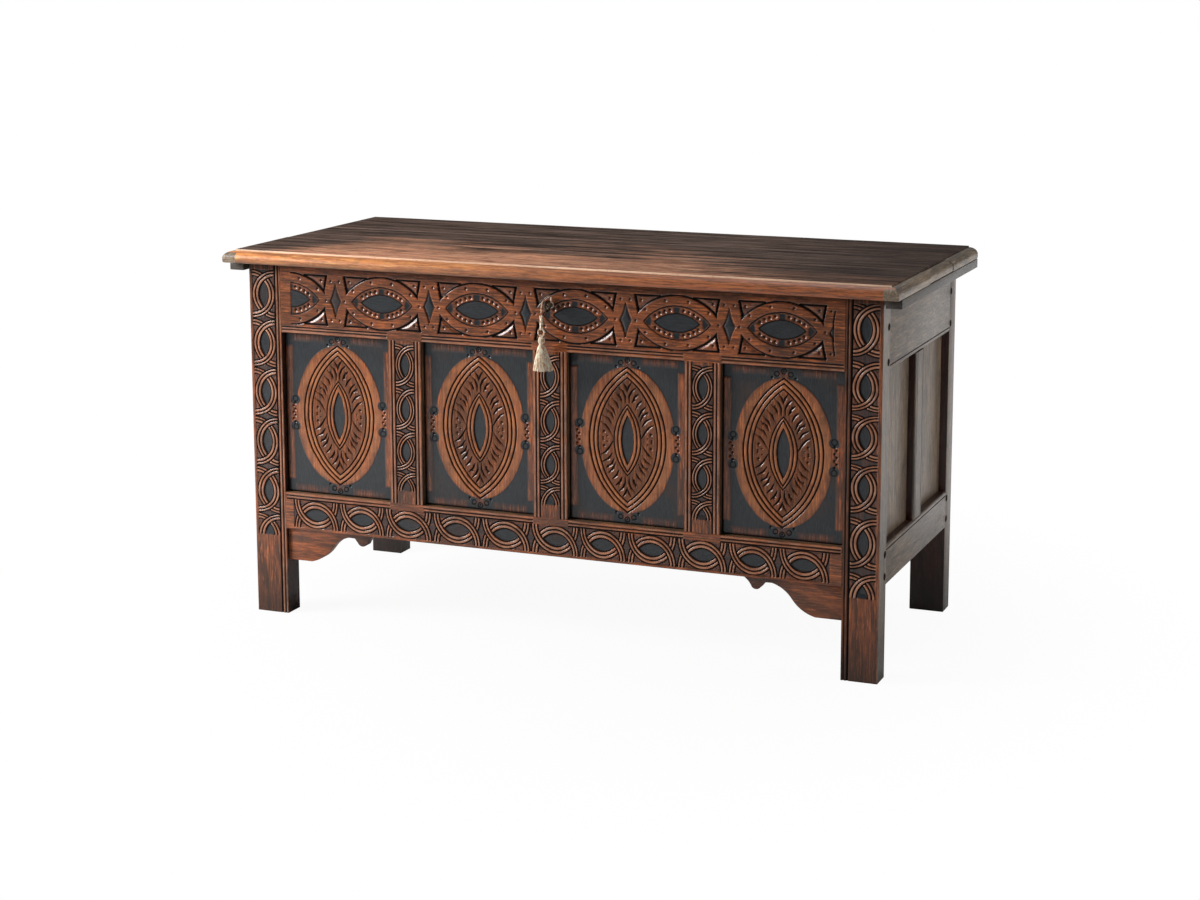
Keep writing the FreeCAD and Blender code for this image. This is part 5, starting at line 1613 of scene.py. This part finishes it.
class COFFER_OT_back(bpy.types.Operator):
    """Makes the plain framed back"""

    bl_idname = "coffer.back"
    bl_label = "Back"

    def execute(self, context):
        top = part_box("back_top_rail")[0].z
        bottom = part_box("back_bottom_rail")[1].z
        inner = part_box("back_stile_right")[0].x
        for side in ("left", "right"):
            node = "back_stile_" + side
            bm = block(*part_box(node))
            ease(bm, sizes().easing)
            # the front faces take the oak darkened by painted shade
            for face in bm.faces:
                face.material_index = int(face.normal.y < -0.7)
            plain(bm, node, side_oak("Z"), edge_oak())
            node = "back_muntin_" + side
            bm = block(*within(node, z=(bottom, top)))
            ease(bm, BACK_EASING)
            plain(bm, node, side_oak("Z"))
        for node in ("back_top_rail", "back_bottom_rail"):
            bm = block(*within(node, x=(-inner, inner)))
            ease(bm, BACK_EASING)
            plain(bm, node, side_oak("X"))
        for node in ("back_panel_left", "back_panel_middle", "back_panel_right"):
            plain(eased_copy(node, 0.6, 40), node, side_oak("Z"))
        return {"FINISHED"}


def islands(bm):
    """The low and high corners of each separate shape in a bmesh."""
    seen = set()
    for start in bm.verts:
        if start in seen:
            continue
        seen.add(start)
        group = [start]
        for v in group:
            for e in v.link_edges:
                other = e.other_vert(v)
                if other not in seen:
                    seen.add(other)
                    group.append(other)
        yield [Vector(pick(v.co[n] for v in group) for n in range(3)) for pick in (min, max)]


# the pegs: the shank's radius, the head's and how thick the head is
PEG_RADIUS = 4.9 * MM
PEG_HEAD = 7.0 * MM
PEG_HEAD_DEPTH = 1.1 * MM


class COFFER_OT_pegs(bpy.types.Operator):
    """Cuts the draw pegs with their wide dark heads"""

    bl_idname = "coffer.pegs"
    bl_label = "Draw pegs"

    def execute(self, context):
        shapes = copied("joint_pegs")
        bm = bmesh.new()
        for low, high in islands(shapes):
            size = high - low
            axis = max(range(3), key=lambda n: size[n])
            out = unit(axis) * (1.0 if low[axis] + high[axis] > 0 else -1.0)
            profile = [
                (-size[axis], 0), (-size[axis], PEG_RADIUS), (-PEG_HEAD_DEPTH, PEG_RADIUS),
                (-PEG_HEAD_DEPTH, PEG_HEAD), (-0.35 * MM, PEG_HEAD), (0, PEG_HEAD - 1.4 * MM), (0, 0),
            ]
            turned(bm, profile, (low + high) / 2 + out * size[axis] / 2, out, (0, 0, 1), 9)
        shapes.free()
        bmesh.ops.recalc_face_normals(bm, faces=bm.faces[:])
        skin = peg_end_grain("peg_oak")
        settle("draw_pegs", bm, "carcass", [skin], "joint_pegs", smooth_angle=30)
        return {"FINISHED"}


class COFFER_OT_boards(bpy.types.Operator):
    """Makes the bottom boards, the lid's cleats and the shaped brackets"""

    bl_idname = "coffer.boards"
    bl_label = "Bottom, cleats and brackets"

    def execute(self, context):
        for number in range(1, 5):
            node = "bottom_board_%d" % number
            settle("sawn_" + node, eased_copy(node, 0.5, 40), "carcass", [raw_oak("X")], node)
        for side in ("left", "right"):
            node = "lid_cleat_" + side
            bm = block(*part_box(node))
            ease(bm, 1.0 * MM)
            settle("planed_" + node, bm, "lid", [cleat_oak()], node)
            node = "bracket_" + side
            bm = eased_copy(node, 0.9, 50)
            settle("shaped_" + node, bm, "carcass", [bracket_oak()], node)
        return {"FINISHED"}


class COFFER_OT_finishes(bpy.types.Operator):
    """Gives the nails, pins and spring of the frame their iron, and its other nodes raw oak"""

    bl_idname = "coffer.finishes"
    bl_label = "Other finishes"

    def execute(self, context):
        for name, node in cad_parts.items():
            is_iron = name.endswith("_nails") or name in ("hinge_pins", "lock_spring")
            node.data.materials.clear()
            node.data.materials.append(old_iron() if is_iron else raw_oak("X"))
        return {"FINISHED"}


# ---------------------------------------------------------------- add-on


class COFFER_PT_panel(bpy.types.Panel):
    """Lists the operators that make the coffer"""

    bl_idname = "COFFER_PT_panel"
    bl_label = "Coffer"
    bl_space_type = "VIEW_3D"
    bl_region_type = "UI"
    bl_category = "Coffer"

    def draw(self, context):
        for operator in OPERATORS:
            self.layout.operator(operator.bl_idname)
        for group in (context.scene.coffer_sizes, context.scene.coffer_colours):
            for name in group.bl_rna.properties.keys():
                if name not in ("rna_type", "name"):
                    self.layout.prop(group, name)


OPERATORS = (
    COFFER_OT_stage,
    COFFER_OT_tassel,
    COFFER_OT_key,
    COFFER_OT_frieze,
    COFFER_OT_bottom_rail,
    COFFER_OT_stiles,
    COFFER_OT_muntins,
    COFFER_OT_panels,
    COFFER_OT_lid,
    COFFER_OT_sides,
    COFFER_OT_back,
    COFFER_OT_pegs,
    COFFER_OT_boards,
    COFFER_OT_ironwork,
    COFFER_OT_finishes,
)
CLASSES = (CofferSizes, CofferColours, *OPERATORS, COFFER_PT_panel)


def register():
    for cls in CLASSES:
        bpy.utils.register_class(cls)
    bpy.types.Scene.coffer_sizes = bpy.props.PointerProperty(type=CofferSizes)
    bpy.types.Scene.coffer_colours = bpy.props.PointerProperty(type=CofferColours)


def unregister():
    del bpy.types.Scene.coffer_colours
    del bpy.types.Scene.coffer_sizes
    for cls in reversed(CLASSES):
        bpy.utils.unregister_class(cls)


def main():
    register()
    for operator in OPERATORS:
        group, name = operator.bl_idname.split(".")
        getattr(getattr(bpy.ops, group), name)()


if __name__ == "__main__":
    main()
